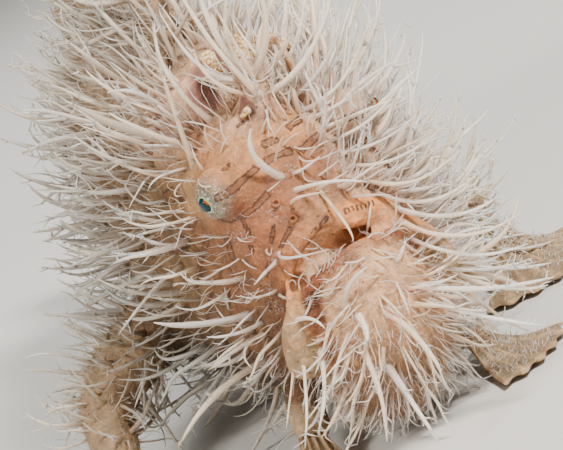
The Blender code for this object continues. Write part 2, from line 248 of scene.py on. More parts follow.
def ellipsoid(centre, half, tilt=0.0, columns=48, rows=32):
    # a ball of the given half sizes, tipped forwards by a turn in degrees
    around = 2 * np.pi * np.arange(columns) / columns
    up = (np.pi * (np.arange(rows) + 1) / (rows + 1))[:, None]
    ball = columnsOf(np.sin(up) * np.cos(around), np.sin(up) * np.sin(around), np.cos(up)) * half
    turn = np.array(Matrix.Rotation(math.radians(tilt), 3, "X"))
    pole = turn @ np.array((0, 0, half[2]))
    return closedRings(ball @ turn.T + centre, pole + centre, -pole + centre)


camera = {
    "azimuth": -16.5, "elevation": 14.8, "roll": -26.8,   # degrees
    "pixelsPerMm": 8.07,
    "distance": 260.0, "target": (-6.85, 0.0, 34.5), "nearest": 0.01,
    "search": (215.0, 330.0, 2.0),        # where along a ray the skin is looked for: from, to, step
    "frameWidth": 563, "frameHeight": 450, "sensor": 36,
}
stage = {
    "floorHalf": 2.0, "paper": "#cfccc6", "roughness": 0.9,
    "room": (1.0, 0.98, 0.96, 1), "roomStrength": 0.25,
    # place, aim, size, power and colour of each light
    "lights": {
        "key_light": ((0.16, -0.36, 0.44), (0, -0.03, 0.03), 0.10, 6.2, (1.0, 0.97, 0.93)),
        "side_light": ((-0.42, -0.16, 0.3), (0, -0.03, 0.03), 0.12, 2.6, (1.0, 0.97, 0.93)),
        "rim_light": ((0.1, 0.4, 0.45), (0, 0.0, 0.03), 0.25, 2.5, (0.96, 0.98, 1.0)),
    },
}


def cameraAxes():
    # to its right, up and back towards it, and its place in frame millimetres
    az, el, roll = (math.radians(camera[k]) for k in ("azimuth", "elevation", "roll"))
    back = Vector((math.sin(az) * math.cos(el), -math.cos(az) * math.cos(el), math.sin(el)))
    level = Vector((math.cos(az), math.sin(az), 0))
    over = back.cross(level)
    right = math.cos(roll) * level + math.sin(roll) * over
    place = Vector(camera["target"]) + Vector((0, shiftY, 0)) + back * camera["distance"]
    return right, -math.sin(roll) * level + math.cos(roll) * over, back, place


def makeCamera():
    *axes, place = cameraAxes()
    made = addObject("photo_camera", bpy.data.cameras.new("photo_camera"))
    turned = Matrix(axes).transposed().to_4x4()
    turned.translation = place / metre
    made.matrix_world = turned
    made.data.sensor_width = camera["sensor"]
    made.data.lens = camera["sensor"] * camera["pixelsPerMm"] * camera["distance"] / camera["frameWidth"]
    made.data.clip_start = camera["nearest"]
    bpy.context.scene.camera = made


def pixelRay(x, y):
    # the camera's place in millimetres and the way of the ray through a pixel
    right, up, back, place = cameraAxes()
    reach = camera["pixelsPerMm"] * camera["distance"]
    aside, down = float(x) - camera["frameWidth"] / 2, float(y) - camera["frameHeight"] / 2
    return place, (right * aside - up * down - back * reach).normalized()


def newMaterial(name, **sockets):
    # sockets of its shader by their names, with _ for a space
    made = bpy.data.materials.new(name)
    made.use_nodes = True
    shader = made.node_tree.nodes["Principled BSDF"]
    for key, value in sockets.items():
        shader.inputs[key.replace("_", " ")].default_value = value
    return made, made.node_tree, shader


def makeStage():
    # Matt pale paper: it gives the eye a plain studio ground
    paper = newMaterial("matt_pale_paper", Base_Color=tone(stage["paper"]), Roughness=stage["roughness"])[0]
    half = stage["floorHalf"]
    floor = addObject("floor", meshFromArrays(
        "floor", np.array([(-half, -half, 0), (half, -half, 0), (half, half, 0), (-half, half, 0)]),
        np.array([[0, 1, 2, 3]]), smooth=False))
    floor.data.materials.append(paper)
    world = bpy.data.worlds.new("soft_room")
    world.use_nodes = True
    world.node_tree.nodes["Background"].inputs["Color"].default_value = stage["room"]
    world.node_tree.nodes["Background"].inputs["Strength"].default_value = stage["roomStrength"]
    bpy.context.scene.world = world
    for name, (place, aim, size, power, colour) in stage["lights"].items():
        light = bpy.data.lights.new(name, "AREA")
        light.size, light.energy, light.color = size, power, colour
        made = addObject(name, light)
        made.location = place
        made.rotation_euler = (Vector(aim) - Vector(place)).to_track_quat("-Z", "Y").to_euler()


makeCamera()
makeStage()
print("camera, floor and lights")


def outline(y, column):
    # the outline table read in the square root of the distance, and averaged over its surroundings
    table = fish["outline"]
    here = np.sqrt(np.clip(np.asarray(y, float) / fish["length"], 0, 1))
    along = np.sqrt(table[:, 0] / fish["length"])
    spread = [np.interp(np.clip(here * (1 + 0.035 * step), 0, 1), along, table[:, column])
              for step in (-1, -0.5, 0, 0.5, 1)]
    return np.mean(spread, axis=0)


def rounded(value):
    return np.sign(value) * np.abs(value) ** (2 / fish["boxiness"])


def eyeDistance(points, centre=fish["eyeCentre"]):
    # to the middle of the nearer eye, or to another place beside it
    return np.linalg.norm(points * (0, 1, 1) + np.abs(points) * (1, 0, 0) - centre, axis=-1)


def bodyPoint(angle, y):
    # a boxy egg for a cross section, widest low down, with the swellings round the eyes
    top, bottom, width = (outline(y, column) for column in (1, 2, 3))
    rise = rounded(np.sin(angle))
    x = width * rounded(np.cos(angle)) * (1 - fish["bellyShare"] * rise)
    points = columnsOf(x, y, (top + bottom) / 2 + (top - bottom) / 2 * rise)
    swelling = fish["orbitSwell"] * np.exp(-(eyeDistance(points) / fish["orbitSpread"]) ** 2)
    points[..., 0] += np.sign(x) * swelling
    return points


def bodyRings(count=150, sides=150):
    share = np.linspace(0.045, 1, count)
    y, angle = np.meshgrid(share ** 2 * fish["length"], 2 * np.pi * np.arange(sides) / sides, indexing="ij")
    return closedRings(bodyPoint(angle, y), (0, -0.05, fish["snoutHeight"]), (0, fish["length"] + 1.2, 30))


mouth = {
    # the arches of the upper lip and of the lower rim; turnMost is the degrees from the middle to an end
    "lip": {"width": 11.25, "drop": 17.2, "depth": 6.6, "turnMost": 104.0, "top": 31.2, "front": -0.4},
    "rim": {"width": 9.3, "drop": 4.6, "depth": 6.4, "turnMost": 96, "top": 27.2, "front": -1.9},
    "lipRadius": 1.6, "lipWaist": 1.3, "knobRadius": 3.1, "rimRadius": 1.05, "knobInset": 0.07,
    "middle": (0, 0, 23.0),               # the middle that the lip runs round
    "reach": (14, 16),                    # the lip lies less far back and less far aside than this
    "notch": 0.35,                        # where its two halves meet
    "jaw": ((0, 4.4, 14.8), (9.6, 8.5, 13.9), 20.0),   # centre, half sizes and tilt
    "shelf": ((0, 4.4, 21.6), (10.2, 6.9, 6.2)),       # widens the jaw under the corners
    "rooms": (((-3.3, 0.35, 28.75), (6.1, 1.7, 2.6)), ((3.3, 0.6, 28.3), (5.6, 2.5, 1.9))),
    "rightLift": 1.15, "rightThin": 0.6,  # how the thinner right half of the lip stands higher
    "leftDrop": 0.15, "columnAhead": 1.5,
}
# bare hollows round the root of the second spine: the pit of the lure, its right end and a small pocket
hollows = (((4.6, 16.6, 56.2), (10.0, 5.4, 7.6)), ((-3.4, 14.8, 52.2), (3.5, 3.2, 4.4)),
           ((-2.3, 7.3, 48.0), (1.7, 1.4, 1.6)))


def archPath(width, drop, depth, turnMost, top, front, steps=90):
    # a half ring seen from the front: across by the sine of the turn, down and back by its cosine
    turn = np.radians(turnMost) * np.linspace(-1, 1, steps)
    fall = (1 - np.cos(turn)) / (1 - np.cos(np.radians(turnMost)))
    return columnsOf(-width * np.sin(turn), front + depth * fall, top - drop * fall)


def rightHalf(path):
    # 1 on the animal's right half of the lip, above its corner
    return smoothStep(0.3, -1.6, path[:, 0]) * smoothStep(22.5, 26, path[:, 2])


def lipPath(steps):
    path = archPath(**mouth["lip"], steps=steps)
    outwards = unit((path - mouth["middle"]) * (1, 0, 1))
    lift = mouth["rightLift"] * rightHalf(path) - mouth["leftDrop"] * rightHalf(path * (-1, 1, 1))
    inset = 1 - mouth["knobInset"] * smoothStep(22, 17, path[:, 2])
    ahead = mouth["columnAhead"] * smoothStep(28, 24, path[:, 2])
    return path * columnsOf(inset, 1, 1) + outwards * lift[:, None] - columnsOf(0, ahead, 0)


def upperLip():
    path = lipPath(96)[3:-3]
    share = np.linspace(-1, 1, len(path))
    thick, waist, knob = mouth["lipRadius"], mouth["lipWaist"], mouth["knobRadius"]
    radii = thick + (waist - thick) * smoothStep(0.1, 0.6, np.abs(share))
    radii = radii + (knob - waist) * smoothStep(0.6, 0.97, np.abs(share))
    radii = radii * (1 - mouth["rightThin"] * rightHalf(path))
    return tube(path, radii - mouth["notch"] * np.exp(-(share / 0.035) ** 2), 28)


def lowerRim():
    path = archPath(**mouth["rim"])
    return tube(path, np.full(len(path), mouth["rimRadius"]), 20)


# rods of flesh: start, bend, end and the radius at either end
limbs = {
    "arm": ((14, 42, 20), (33, 47, 16), (31.5, 37, 6), 5.6, 3.1),
    "leg": ((7.5, 17, 12), (11.5, 17, 7), (12, 11.0, 4.2), 2.9, 2.4),
}
spines = {
    "second": ((0, 9.2, 43), (0.2, 7.8, 48), (0.8, 7.4, 53.5), 2.9, 1.9),
    "third": ((0, 28, 50), (0, 30, 67), (0, 39, 73), 3.6, 1.3),
}
# joins each eye to the snout
eyeTurret = ((-10.0, 6.0, 40.6), (-7.2, 4.0, 39.9), (-3.8, 4.6, 38.9), 2.95, 1.3)
flesh = {
    "voxel": 0.64, "calming": 0.5, "calmTurns": 5, "faceReach": 14.0, "faceLow": 8, "grooveTurns": 34,
    "lowest": 0.02,                       # least height over the floor
}


def helper(shape):
    return addObject("helper", meshFromArrays("helper", *shape))


def evaluated(obj):
    bpy.context.view_layer.update()
    graph = bpy.context.evaluated_depsgraph_get()
    return bpy.data.meshes.new_from_object(obj.evaluated_get(graph))


def fusedFlesh():
    # every rod and ball of flesh joined by a voxel remesh and smoothed, in millimetres
    body, shelf = helper(bodyRings()), helper(ellipsoid(*mouth["shelf"]))
    jaw = helper(ellipsoid(*mouth["jaw"], 72, 48))
    pits, rooms = ([helper(ellipsoid(*room)) for room in group] for group in (hollows, mouth["rooms"]))
    for solid, cuts in ((body, pits), (body, rooms), (jaw, rooms), (shelf, rooms)):
        for room in cuts:
            cut = solid.modifiers.new("cut", "BOOLEAN")
            cut.operation, cut.solver, cut.object = "DIFFERENCE", "EXACT", room
    shapes = [upperLip(), lowerRim(), *(horn(*spine) for spine in spines.values())]
    for rod in (eyeTurret, *limbs.values()):
        shapes += [horn(*rod), mirrored(horn(*rod))]
    solids = [body, jaw, shelf, *map(helper, shapes)]
    whole = addObject("flesh", joinedMesh("flesh", map(evaluated, solids)))
    fuse, calm = (whole.modifiers.new(kind, kind) for kind in ("REMESH", "SMOOTH"))
    fuse.mode, fuse.voxel_size = "VOXEL", flesh["voxel"]
    calm.factor, calm.iterations = flesh["calming"], flesh["calmTurns"]
    made = evaluated(whole)
    for obj in [*solids, *rooms, *pits, whole]:
        old = obj.data
        bpy.data.objects.remove(obj)
        bpy.data.meshes.remove(old)
    return made


def refinedFace(mesh):
    # halves the faces of the head once, so that folds and lids can be carved into it
    work = bmesh.new()
    work.from_mesh(mesh)
    middles = [(face, face.calc_center_median()) for face in work.faces]
    edges = list({edge for face, at in middles if at.y < flesh["faceReach"] and at.z > flesh["faceLow"]
                  for edge in face.edges})
    bmesh.ops.subdivide_edges(work, edges=edges, cuts=1, use_grid_fill=True)
    fresh = [v for v in work.verts if v.co.y < flesh["faceReach"]]
    for _ in range(2):
        bmesh.ops.smooth_vert(work, verts=fresh, factor=flesh["calming"],
                              use_axis_x=True, use_axis_y=True, use_axis_z=True)
    bmesh.ops.triangulate(work, faces=[face for face in work.faces if len(face.verts) > 4])
    work.to_mesh(mesh)
    work.free()
    return mesh


fins = {
    "ray": 1.7, "web": 0.65,              # thickness at the root of a ray and of the web between rays
    "thinning": 0.45,                     # how much thinner they are at the tip
    # rays and rows of the grid of each fin
    "back": (12, 26), "under": (7, 20), "tail": (9, 34), "hand": (10, 22), "foot": (6, 22),
    "perRay": 8,                          # columns of the grid from ray to ray
    "tipWeb": 0.94,                       # how far the web reaches between the tips of the rays
}


def onRays(share, rays):
    # 1 on a ray, 0 halfway between two
    return np.abs(np.cos(np.pi * share * (rays - 1))) ** 3


def finSheet(base, way, length, rays, rows, webbed=fins["tipWeb"], flare=1.1):
    # a closed fin: points base(share) + way(share, out) * reach, pushed out on both sides by half its depth
    columns = (rays - 1) * fins["perRay"] + 1
    share, out = np.meshgrid(np.linspace(0, 1, columns), np.linspace(0, 1, rows), indexing="ij")
    onRay = onRays(share, rays)
    reach = length(share) * (webbed + (1 - webbed) * onRay ** 0.67)
    sheet = base(share) + way(share, out) * (reach * out)[..., None]
    square = unit(np.cross(np.gradient(sheet, axis=0), np.gradient(sheet, axis=1)))
    half = (fins["web"] + (fins["ray"] - fins["web"]) * onRay) / 2 * (1 - fins["thinning"] * out)
    half = half + flare * np.exp(-(out / 0.09) ** 2)
    edge = np.minimum(np.arange(columns), np.arange(columns)[::-1])[:, None] + 0 * out
    half = half * np.where(edge == 0, 0.35, np.where(edge == 1, 0.75, 1.0))
    half[:, -1] *= 0.35
    half[:, -2] *= 0.8
    points = np.concatenate([(sheet + side * square * half[..., None]).reshape(-1, 3) for side in (1, -1)])
    under = columns * rows
    i, j = (a.ravel() for a in np.meshgrid(np.arange(columns - 1), np.arange(rows - 1), indexing="ij"))
    corner = i * rows + j
    top = np.stack([corner, corner + rows, corner + rows + 1, corner + 1], -1)
    rim = np.concatenate([np.arange(columns) * rows, (columns - 1) * rows + np.arange(1, rows),
                          np.arange(columns - 2, -1, -1) * rows + rows - 1, np.arange(rows - 2, 0, -1)])
    after = np.roll(rim, -1)
    sides = np.stack([rim, under + rim, under + after, after], -1)
    quads = np.concatenate([top, under + top[:, ::-1], sides])
    return points, outward(points, quads, noTris)[0], noTris


def ridgeFin(side, start, span, lean, leanSpan, length, bulge, peak, grid):
    # a fin along the back (side 1) or under the tail (side -1), from its start over its span
    def base(s):
        y = start + span * s
        return columnsOf(0, y, outline(y, 1 if side > 0 else 2) - 1.5 * side)

    def way(s, o):
        turn = np.radians(lean + leanSpan * s + 12 * o)
        return columnsOf(0, np.sin(turn), side * np.cos(turn))

    def reach(s):
        return length + bulge * np.sin(np.pi * np.minimum(1, s * peak[0] + peak[1]))

    return finSheet(base, way, reach, *grid)


def tailFin():
    return finSheet(
        lambda s: columnsOf(0, 100 + 1.5 * np.sin(np.pi * s), 24.5 + 11 * s),
        lambda s, o: columnsOf(0, np.cos(np.radians(-36 + 74 * s)), np.sin(np.radians(-36 + 74 * s))),
        lambda s: 26 + 4 * np.sin(np.pi * s), *fins["tail"], flare=0.8)


def paw(wrist, spread, reach, grid, knuckle=2.4, sole=0.85):
    # rays that spread from the wrist and lie down on the floor
    ray = reach - knuckle

    def heading(s):
        turn = np.radians(spread[0] + (spread[1] - spread[0]) * s)
        return columnsOf(np.sin(turn), -np.cos(turn), 0)

    def down(o):
        return (wrist[2] - sole) * (1 - (1 - np.minimum(1, o * 1.5)) ** 2) / (ray * np.maximum(o, 0.05))

    return finSheet(lambda s: np.array(wrist) + heading(s) * knuckle,
                    lambda s, o: heading(s) - columnsOf(0, 0, down(o)),
                    lambda s: ray + 0 * s, *grid, webbed=0.95, flare=0.7)


def finShapes():
    hand = paw((31.5, 37, 6), (-38, 92), 16, fins["hand"])
    foot = paw((12, 12.5, 4.6), (-8, 62), 14, fins["foot"])
    return [ridgeFin(1, 43, 49, 28, 24, 16, 5, (0.9, 0.1), fins["back"]),
            ridgeFin(-1, 71, 20, 54, 10, 12, 3.5, (1, 0.15), fins["under"]), tailFin(),
            hand, mirrored(hand), foot, mirrored(foot)]


def rayShares():
    # how near each point of the fins is to a ray, in the order of finShapes
    shares = []
    for name in ("back", "under", "tail", "hand", "hand", "foot", "foot"):
        rays, rows = fins[name]
        share = np.repeat(np.linspace(0, 1, (rays - 1) * fins["perRay"] + 1), rows)
        shares.append(np.tile(onRays(share, rays), 2))
    return np.concatenate(shares)


relief = {
    "folds": (0.24, 0.10), "wrinkles": (0.11, 0.05),   # on the body and on the face
    "cushions": 0.07,
    "opening": 35.0,                      # degrees from the eye's axis to the edge of its opening
    "lidDepth": 0.2, "lidRoll": 0.16, "lidSoftness": 0.9, "lidReach": 6.5,
}
eyes = {
    "radius": 3.1, "axis": (0.96, -0.27, -0.08), "pupilWay": (-0.198, -0.849, 0.490),
    "pupilTurn": 20.0,                    # degrees from the axis to the pupil's edge
    "pupilBulge": 0.28, "groove": 0.06, "grain": 0.035,
}


def nearestOn(points, path):
    near = np.argmin(np.linalg.norm(points[:, None] - path[None], axis=-1), axis=1)
    return path[near]


def nearLip(points):
    return (points[:, 1] < mouth["reach"][0]) & (np.abs(points[:, 0]) < mouth["reach"][1])


def lipDistance(points):
    # to the middle line of the upper lip; 99 where it is far
    path, close = lipPath(60), nearLip(points)
    far = np.full(len(points), 99.0)
    far[close] = np.min(np.linalg.norm(points[close][:, None] - path[None], axis=-1), axis=1)
    return far


def innerShare(points):
    # 1 on the side of the lip that looks into the mouth
    share = np.zeros(len(points))
    near = np.flatnonzero(nearLip(points) & (points[:, 2] > 10))
    on = nearestOn(points[near], lipPath(60))
    inwards = unit((mouth["middle"] - on) * (1, 0, 1))
    share[near] = smoothStep(-0.25, 0.75, np.sum(unit(points[near] - on) * inwards, axis=-1))
    return share


def jawShare(points):
    # below 1 inside the ball of the jaw, as a share of its radius
    centre, half, tilt = mouth["jaw"]
    turn = np.array(Matrix.Rotation(math.radians(-tilt), 3, "X"))
    return np.linalg.norm((points - centre) @ turn.T / half, axis=-1)


def roomShare(points, rooms):
    # below 1 inside the nearest of some ellipsoids
    return np.min([np.linalg.norm((points - centre) / half, axis=-1) for centre, half in rooms], axis=0)


def drapedOverEyes(points):
    # Skin that would lie inside the eyeball is drawn out over it, down to the edge of the opening, and
    # the fold where it comes off the ball is filled by a smooth maximum of the two distances.
    mirror = np.where(points[:, :1] < 0, (-1, 1, 1), (1, 1, 1))
    local = points * mirror - fish["eyeCentre"]
    away = np.linalg.norm(local, axis=1)
    cosine = (local @ unit(np.array(eyes["axis"]))) / np.maximum(away, 1e-6)
    turn, opening = np.degrees(np.arccos(np.clip(cosine, -1, 1))), relief["opening"]
    lid = eyes["radius"] + relief["lidDepth"] * smoothStep(opening - 4, opening + 14, turn)
    lid = lid + relief["lidRoll"] * np.exp(-((turn - opening - 7) / 5) ** 2)
    lid = np.where(turn < opening - 2, eyes["radius"] - 0.5, lid)
    soft = relief["lidSoftness"]
    share = np.clip(0.5 + 0.5 * (away - lid) / soft, 0, 1)
    drawn = lid + (away - lid) * share + soft * share * (1 - share) / 2
    drawn = np.where(turn < opening - 2, np.minimum(away, lid), drawn)
    drawn = np.where(turn > 125, away, drawn)
    scale = np.where(away < relief["lidReach"], drawn / np.maximum(away, 1e-6), 1)
    return (local * scale[:, None] + fish["eyeCentre"]) * mirror


def calmed(mesh, points, weight, turns):
    # each point moved towards the mean of its neighbours, by its own weight, several times over
    a, b = readArray(mesh.edges, "vertices", np.int32, 2).T
    kept = (weight[a] > 0) | (weight[b] > 0)
    a, b = a[kept], b[kept]
    count = len(points)
    number = np.bincount(a, minlength=count) + np.bincount(b, minlength=count)
    for _ in range(turns):
        total = np.stack([np.bincount(a, points[b, k], count) + np.bincount(b, points[a, k], count)
                          for k in range(3)], -1)
        mean = total / np.maximum(number, 1)[:, None]
        points = points + (mean - points) * (weight * 0.6)[:, None]
    return points


def grooveShare(points):
    # 1 in the groove between the upper lip and the face, which the skin bridges
    lip = lipDistance(points)
    band = smoothStep(0.7, 1.3, lip) * smoothStep(5.0, 3.2, lip) * smoothStep(24.5, 27.5, points[:, 2])
    return band * (innerShare(points) < 0.4)


def carve(points, normals):
    # folds from noise at several sizes, and a lid round each eye
    face = 1 - smoothStep(9, 22, points[:, 1])
    folds, wrinkles = (body + (head - body) * face for body, head in (relief["folds"], relief["wrinkles"]))
    height = folds * valueNoise(points, 4.2, 1) + wrinkles * valueNoise(points, 1.5, 2)
    away = eyeDistance(points)
    height *= smoothStep(3.2, 5.5, away)
    onLip = 1 - smoothStep(1.6, 2.3, lipDistance(points))
    height *= 1 - 0.75 * onLip
    # little cushions where filaments stand, and pores between them
    cushions = np.clip(valueNoise(points, 0.75, 3), -0.2, 1)
    height += relief["cushions"] * cushions * (1 - onLip) * smoothStep(3.4, 4.5, away)
    return drapedOverEyes(points + normals * height[:, None])


nostrils = {
    "pixels": ((276, 203), (293, 219)), "sides": 20,
    # height and radius of each ring of the little tube, from the skin up, over the rim and down inside
    "profile": ((-0.4, 0.78), (-0.05, 0.62), (0.2, 0.54), (0.42, 0.52), (0.52, 0.44), (0.48, 0.34),
                (0.2, 0.3)),
}


def rayHit(tree, x, y, shift=0.0):
    # where a pixel's ray meets a tree of skin triangles, or comes nearest to it, and the skin's way out there
    start, way = pixelRay(x, y)
    start = start - Vector((0, shift, 0))
    place, normal, _, _ = tree.ray_cast(start, way)
    if place is None:
        found = [tree.find_nearest(start + way * reach) for reach in np.arange(*camera["search"])]
        place, normal, _, _ = min(found, key=lambda hit: hit[3])
    return np.array(place), np.array(normal)


def nostrilTubes(tree):
    # each profile ring turned round the skin's own way out, where the pixel's ray meets the skin
    shapes = []
    for pixel in nostrils["pixels"]:
        place, way = rayHit(tree, *pixel, shiftY)
        across = unit(np.cross(way, (0, 0, 1.0)))
        ring = circle(nostrils["sides"], across, np.cross(way, across))
        rings = np.array([place + way * height + ring * radius for height, radius in nostrils["profile"]])
        shape = closedRings(rings, place - way * 0.5, place + way * 0.1)
        shapes += [shape, mirrored(shape)]
    return shapes


def buildSkinMesh():
    # the whole skin in millimetres, and the number of its first point on the fins
    mesh = refinedFace(fusedFlesh())
    points, _ = meshArrays(mesh)
    movePoints(mesh, calmed(mesh, points, grooveShare(points), flesh["grooveTurns"]))
    points = carve(*meshArrays(mesh))
    movePoints(mesh, points)
    tree = BVHTree.FromPolygons(points.tolist(), meshTris(mesh).tolist())
    pieces = (meshFromArrays("piece", *shape) for shape in [*finShapes(), *nostrilTubes(tree)])
    return joinedMesh("skin", [mesh, *pieces]), len(points)


skinMesh, finsFrom = buildSkinMesh()
skinFish, _ = meshArrays(skinMesh)
skinFish[:, 2] = np.maximum(skinFish[:, 2], flesh["lowest"])
skinFrame = toFrameMm(skinFish)
movePoints(skinMesh, skinFrame / metre)
skinMesh.shade_smooth()
skin = addObject("skin", skinMesh)
skinTris = meshTris(skinMesh)
skinTree = BVHTree.FromPolygons(skinFrame.tolist(), skinTris.tolist())
triMiddle = skinFish[skinTris].mean(axis=1)
print("skin", len(skinFish), "points", len(skinTris), "triangles")


def skinPixel(x, y):
    # where the ray through a pixel meets the skin, in frame millimetres, or None
    return skinTree.ray_cast(*pixelRay(x, y))[0]


def addFloat(mesh, name, values):
    made = mesh.attributes.new(name, "FLOAT", "POINT")
    made.data.foreach_set("value", np.ascontiguousarray(values, np.float32))


def addColour(mesh, name, colours):
    full = np.concatenate([colours, np.ones((len(colours), 1))], axis=1)
    made = mesh.attributes.new(name, "FLOAT_COLOR", "POINT")
    made.data.foreach_set("color", np.ascontiguousarray(full, np.float32).ravel())


# Brown marks of the right side of the face: points of a line through the picture and its width, in pixels
faceMarks = (
    ((215, 199), (228, 193), (243, 180), (256, 168), 6.5), ((266, 161), (290, 151), 7.5),
    ((263, 145), (277, 139), 7), ((219, 219), (230, 222), (241, 217), 1.5),
    ((243, 217), (256, 206), (268, 194), 5.5), ((243, 219), (247, 229), (250, 237), 4.5),
    ((165, 200), (175, 193), 14), ((178, 199), (184, 200), 5), ((148, 158), (152, 156), 13),
    ((144, 204), (147, 202), 12), ((162, 227), (166, 226), 9), ((188, 243), (170, 254), 6),
    ((208, 240), (200, 260), 7), ((226, 238), (233, 259), 7), ((251, 246), (252, 254), 4),
    ((274, 226), (271, 243), 3.5), ((291, 228), (283, 247), 6.5), ((270, 262), (266, 276), 4),
    ((204, 268), (196, 288), 6), ((212, 293), (207, 322), 5), ((189, 305), (185, 330), 5),
    ((205, 337), (204, 350), 5), ((268, 302), (269, 308), 6), ((268, 337), (268, 341), 6),
    ((247, 340), (247, 343), 5), ((229, 358), (229, 361), 5), ((186, 219), (189, 221), 6),
    ((237, 127), (243, 122), 4), ((224, 170), (229, 163), 4),
)
# Fine dark ticks across the upper lip: the two ends of the band they lie in, how many, and the reach of
# each to either side of the band's line, in pixels
lipTicks = (((303, 250), (329, 218), 12, (-0.5, 4.5)), ((345, 211), (373, 203), 8, (-3.2, 3.2)))
marks = {
    "tickRadius": 0.15, "mirrorShift": 0.35, "ragged": 0.13, "tickRagged": 0.05,
    # those strewn over the body
    "count": 150, "length": (2.5, 6.5), "width": (0.7, 1.7), "source": (0, -10, 28), "scatter": 12,
    "seed": 41,
}


def triCross(points):
    # the cross product of two sides of each triangle of the skin
    a, b, c = (points[skinTris[:, k]] for k in range(3))
    return np.cross(b - a, c - a)


def markSegments():
    # Every mark as (start, end, radius) in the fish's space: those of the face, their mirror images a
    # little changed, and streaks strewn over the trunk along the way from the face to the tail.
    rng = np.random.default_rng(marks["seed"])
    found = []
    for *line, width in faceMarks:
        spots = [fromFrameMm(np.array(spot)) for spot in (skinPixel(*p) for p in line) if spot is not None]
        radius = width / 2 / camera["pixelsPerMm"]
        shift = rng.normal(0, marks["mirrorShift"], 3) * (0, 1, 1)
        for a, b in zip(spots, spots[1:]):
            found.append((a, b, radius))
            if a[0] < -2.5:
                found.append((a * (-1, 1, 1) + shift, b * (-1, 1, 1) + shift, radius * rng.uniform(0.8, 1.1)))
    x, y, z = triMiddle.T
    wanted = np.linalg.norm(triCross(skinFish), axis=1) * smoothStep(13, 20, y) * (z > 4) * (np.abs(x) < 19)
    for i in rng.choice(len(skinTris), marks["count"], p=wanted / wanted.sum()):
        place = triMiddle[i]
        way = unit(place - np.array(marks["source"]) + rng.normal(0, marks["scatter"], 3))
        length = rng.uniform(*marks["length"])
        found.append((place - way * length / 2, place + way * length / 2, rng.uniform(*marks["width"]) / 2))
    return found


def tickSegments():
    # across each line of ticks, from the skin under one pixel to that under another
    found = []
    for first, last, count, reach in lipTicks:
        first, last = np.array(first, float), np.array(last, float)
        across = unit(np.array((last[1] - first[1], first[0] - last[0])))
        for share in np.linspace(0, 1, count):
            spots = [skinPixel(*(first + (last - first) * share + across * step)) for step in reach]
            if None not in spots:
                found.append((*[fromFrameMm(np.array(p)) for p in spots], marks["tickRadius"]))
    return found


def segmentDistance(points, segments, ragged=marks["ragged"]):
    # least distance to square-ended strips, made ragged by noise
    best = np.full(len(points), 9.0)
    for start, end, radius in segments:
        reach = np.linalg.norm(end - start) / 2 + radius + 1.5
        near = np.flatnonzero(np.linalg.norm(points - (start + end) / 2, axis=1) < reach)
        if len(near) == 0:
            continue
        long = max(np.linalg.norm(end - start), 1e-6)
        along = (end - start) / long
        reached = (points[near] - start) @ along
        aside = np.linalg.norm(points[near] - start - reached[:, None] * along, axis=1) - radius
        away = np.maximum(aside, np.maximum(-reached, reached - long) - radius * 0.25)
        best[near] = np.minimum(best[near], away)
    return best + ragged * (valueNoise(points, 0.9, 11) + 0.6 * valueNoise(points, 0.4, 12))


segments, ticks = markSegments(), tickSegments()
print("markings", len(segments), "segments", len(ticks), "ticks")

skinTones = {
    "face": "#955b37", "brow": "#b87f4f", "cheek": "#83542f", "cheekLow": "#6e4a2b", "flank": "#755734",
    "flankLowBrownAndShade": "#3f2e1a", "back": "#94795a", "belly": "#9a7b58", "chin": "#cf9f74", "chinLow": "#8a6446",
    "channelShade": "#7d4524", "lip": "#d38b4e", "knob": "#ae9069", "mouth": "#cc8f60", "membrane": "#dfae82",
    "pitMauveAndShade": "#86594a", "orbit": "#7d7461", "fin": "#b0926e", "arm": "#957a5a", "crest": "#c49c7c",
    "muzzle": "#b07f59", "leftFace": "#c9a384", "temple": "#a88259",
    # how much of each colour the painted shade in the groove behind the lip takes away, and how light webs
    # and rays are
    "groove": (0.35, 0.5, 0.6), "web": 0.62, "ray": 0.45,
}
silver = {"turn": (0, -0.22, 0), "fade": (1.6, 4.6), "wobble": 0.5, "cheek": 0.7}


def laid(colour, layers):
    # tones laid over a colour one after the other, each by its weight
    for name, weight in layers:
        colour = colour + (tones([skinTones[name]])[0] - colour) * np.asarray(weight)[..., None]
    return colour


def silverShare(points):
    # the silvery skin round the lens fades out towards the face
    lens = np.array(fish["eyeCentre"]) + eyes["radius"] * unit(np.array(eyes["axis"]) + silver["turn"])
    away = eyeDistance(points, lens) + silver["wobble"] * valueNoise(points, 1.1, 21)
    return 1 - smoothStep(*silver["fade"], away)


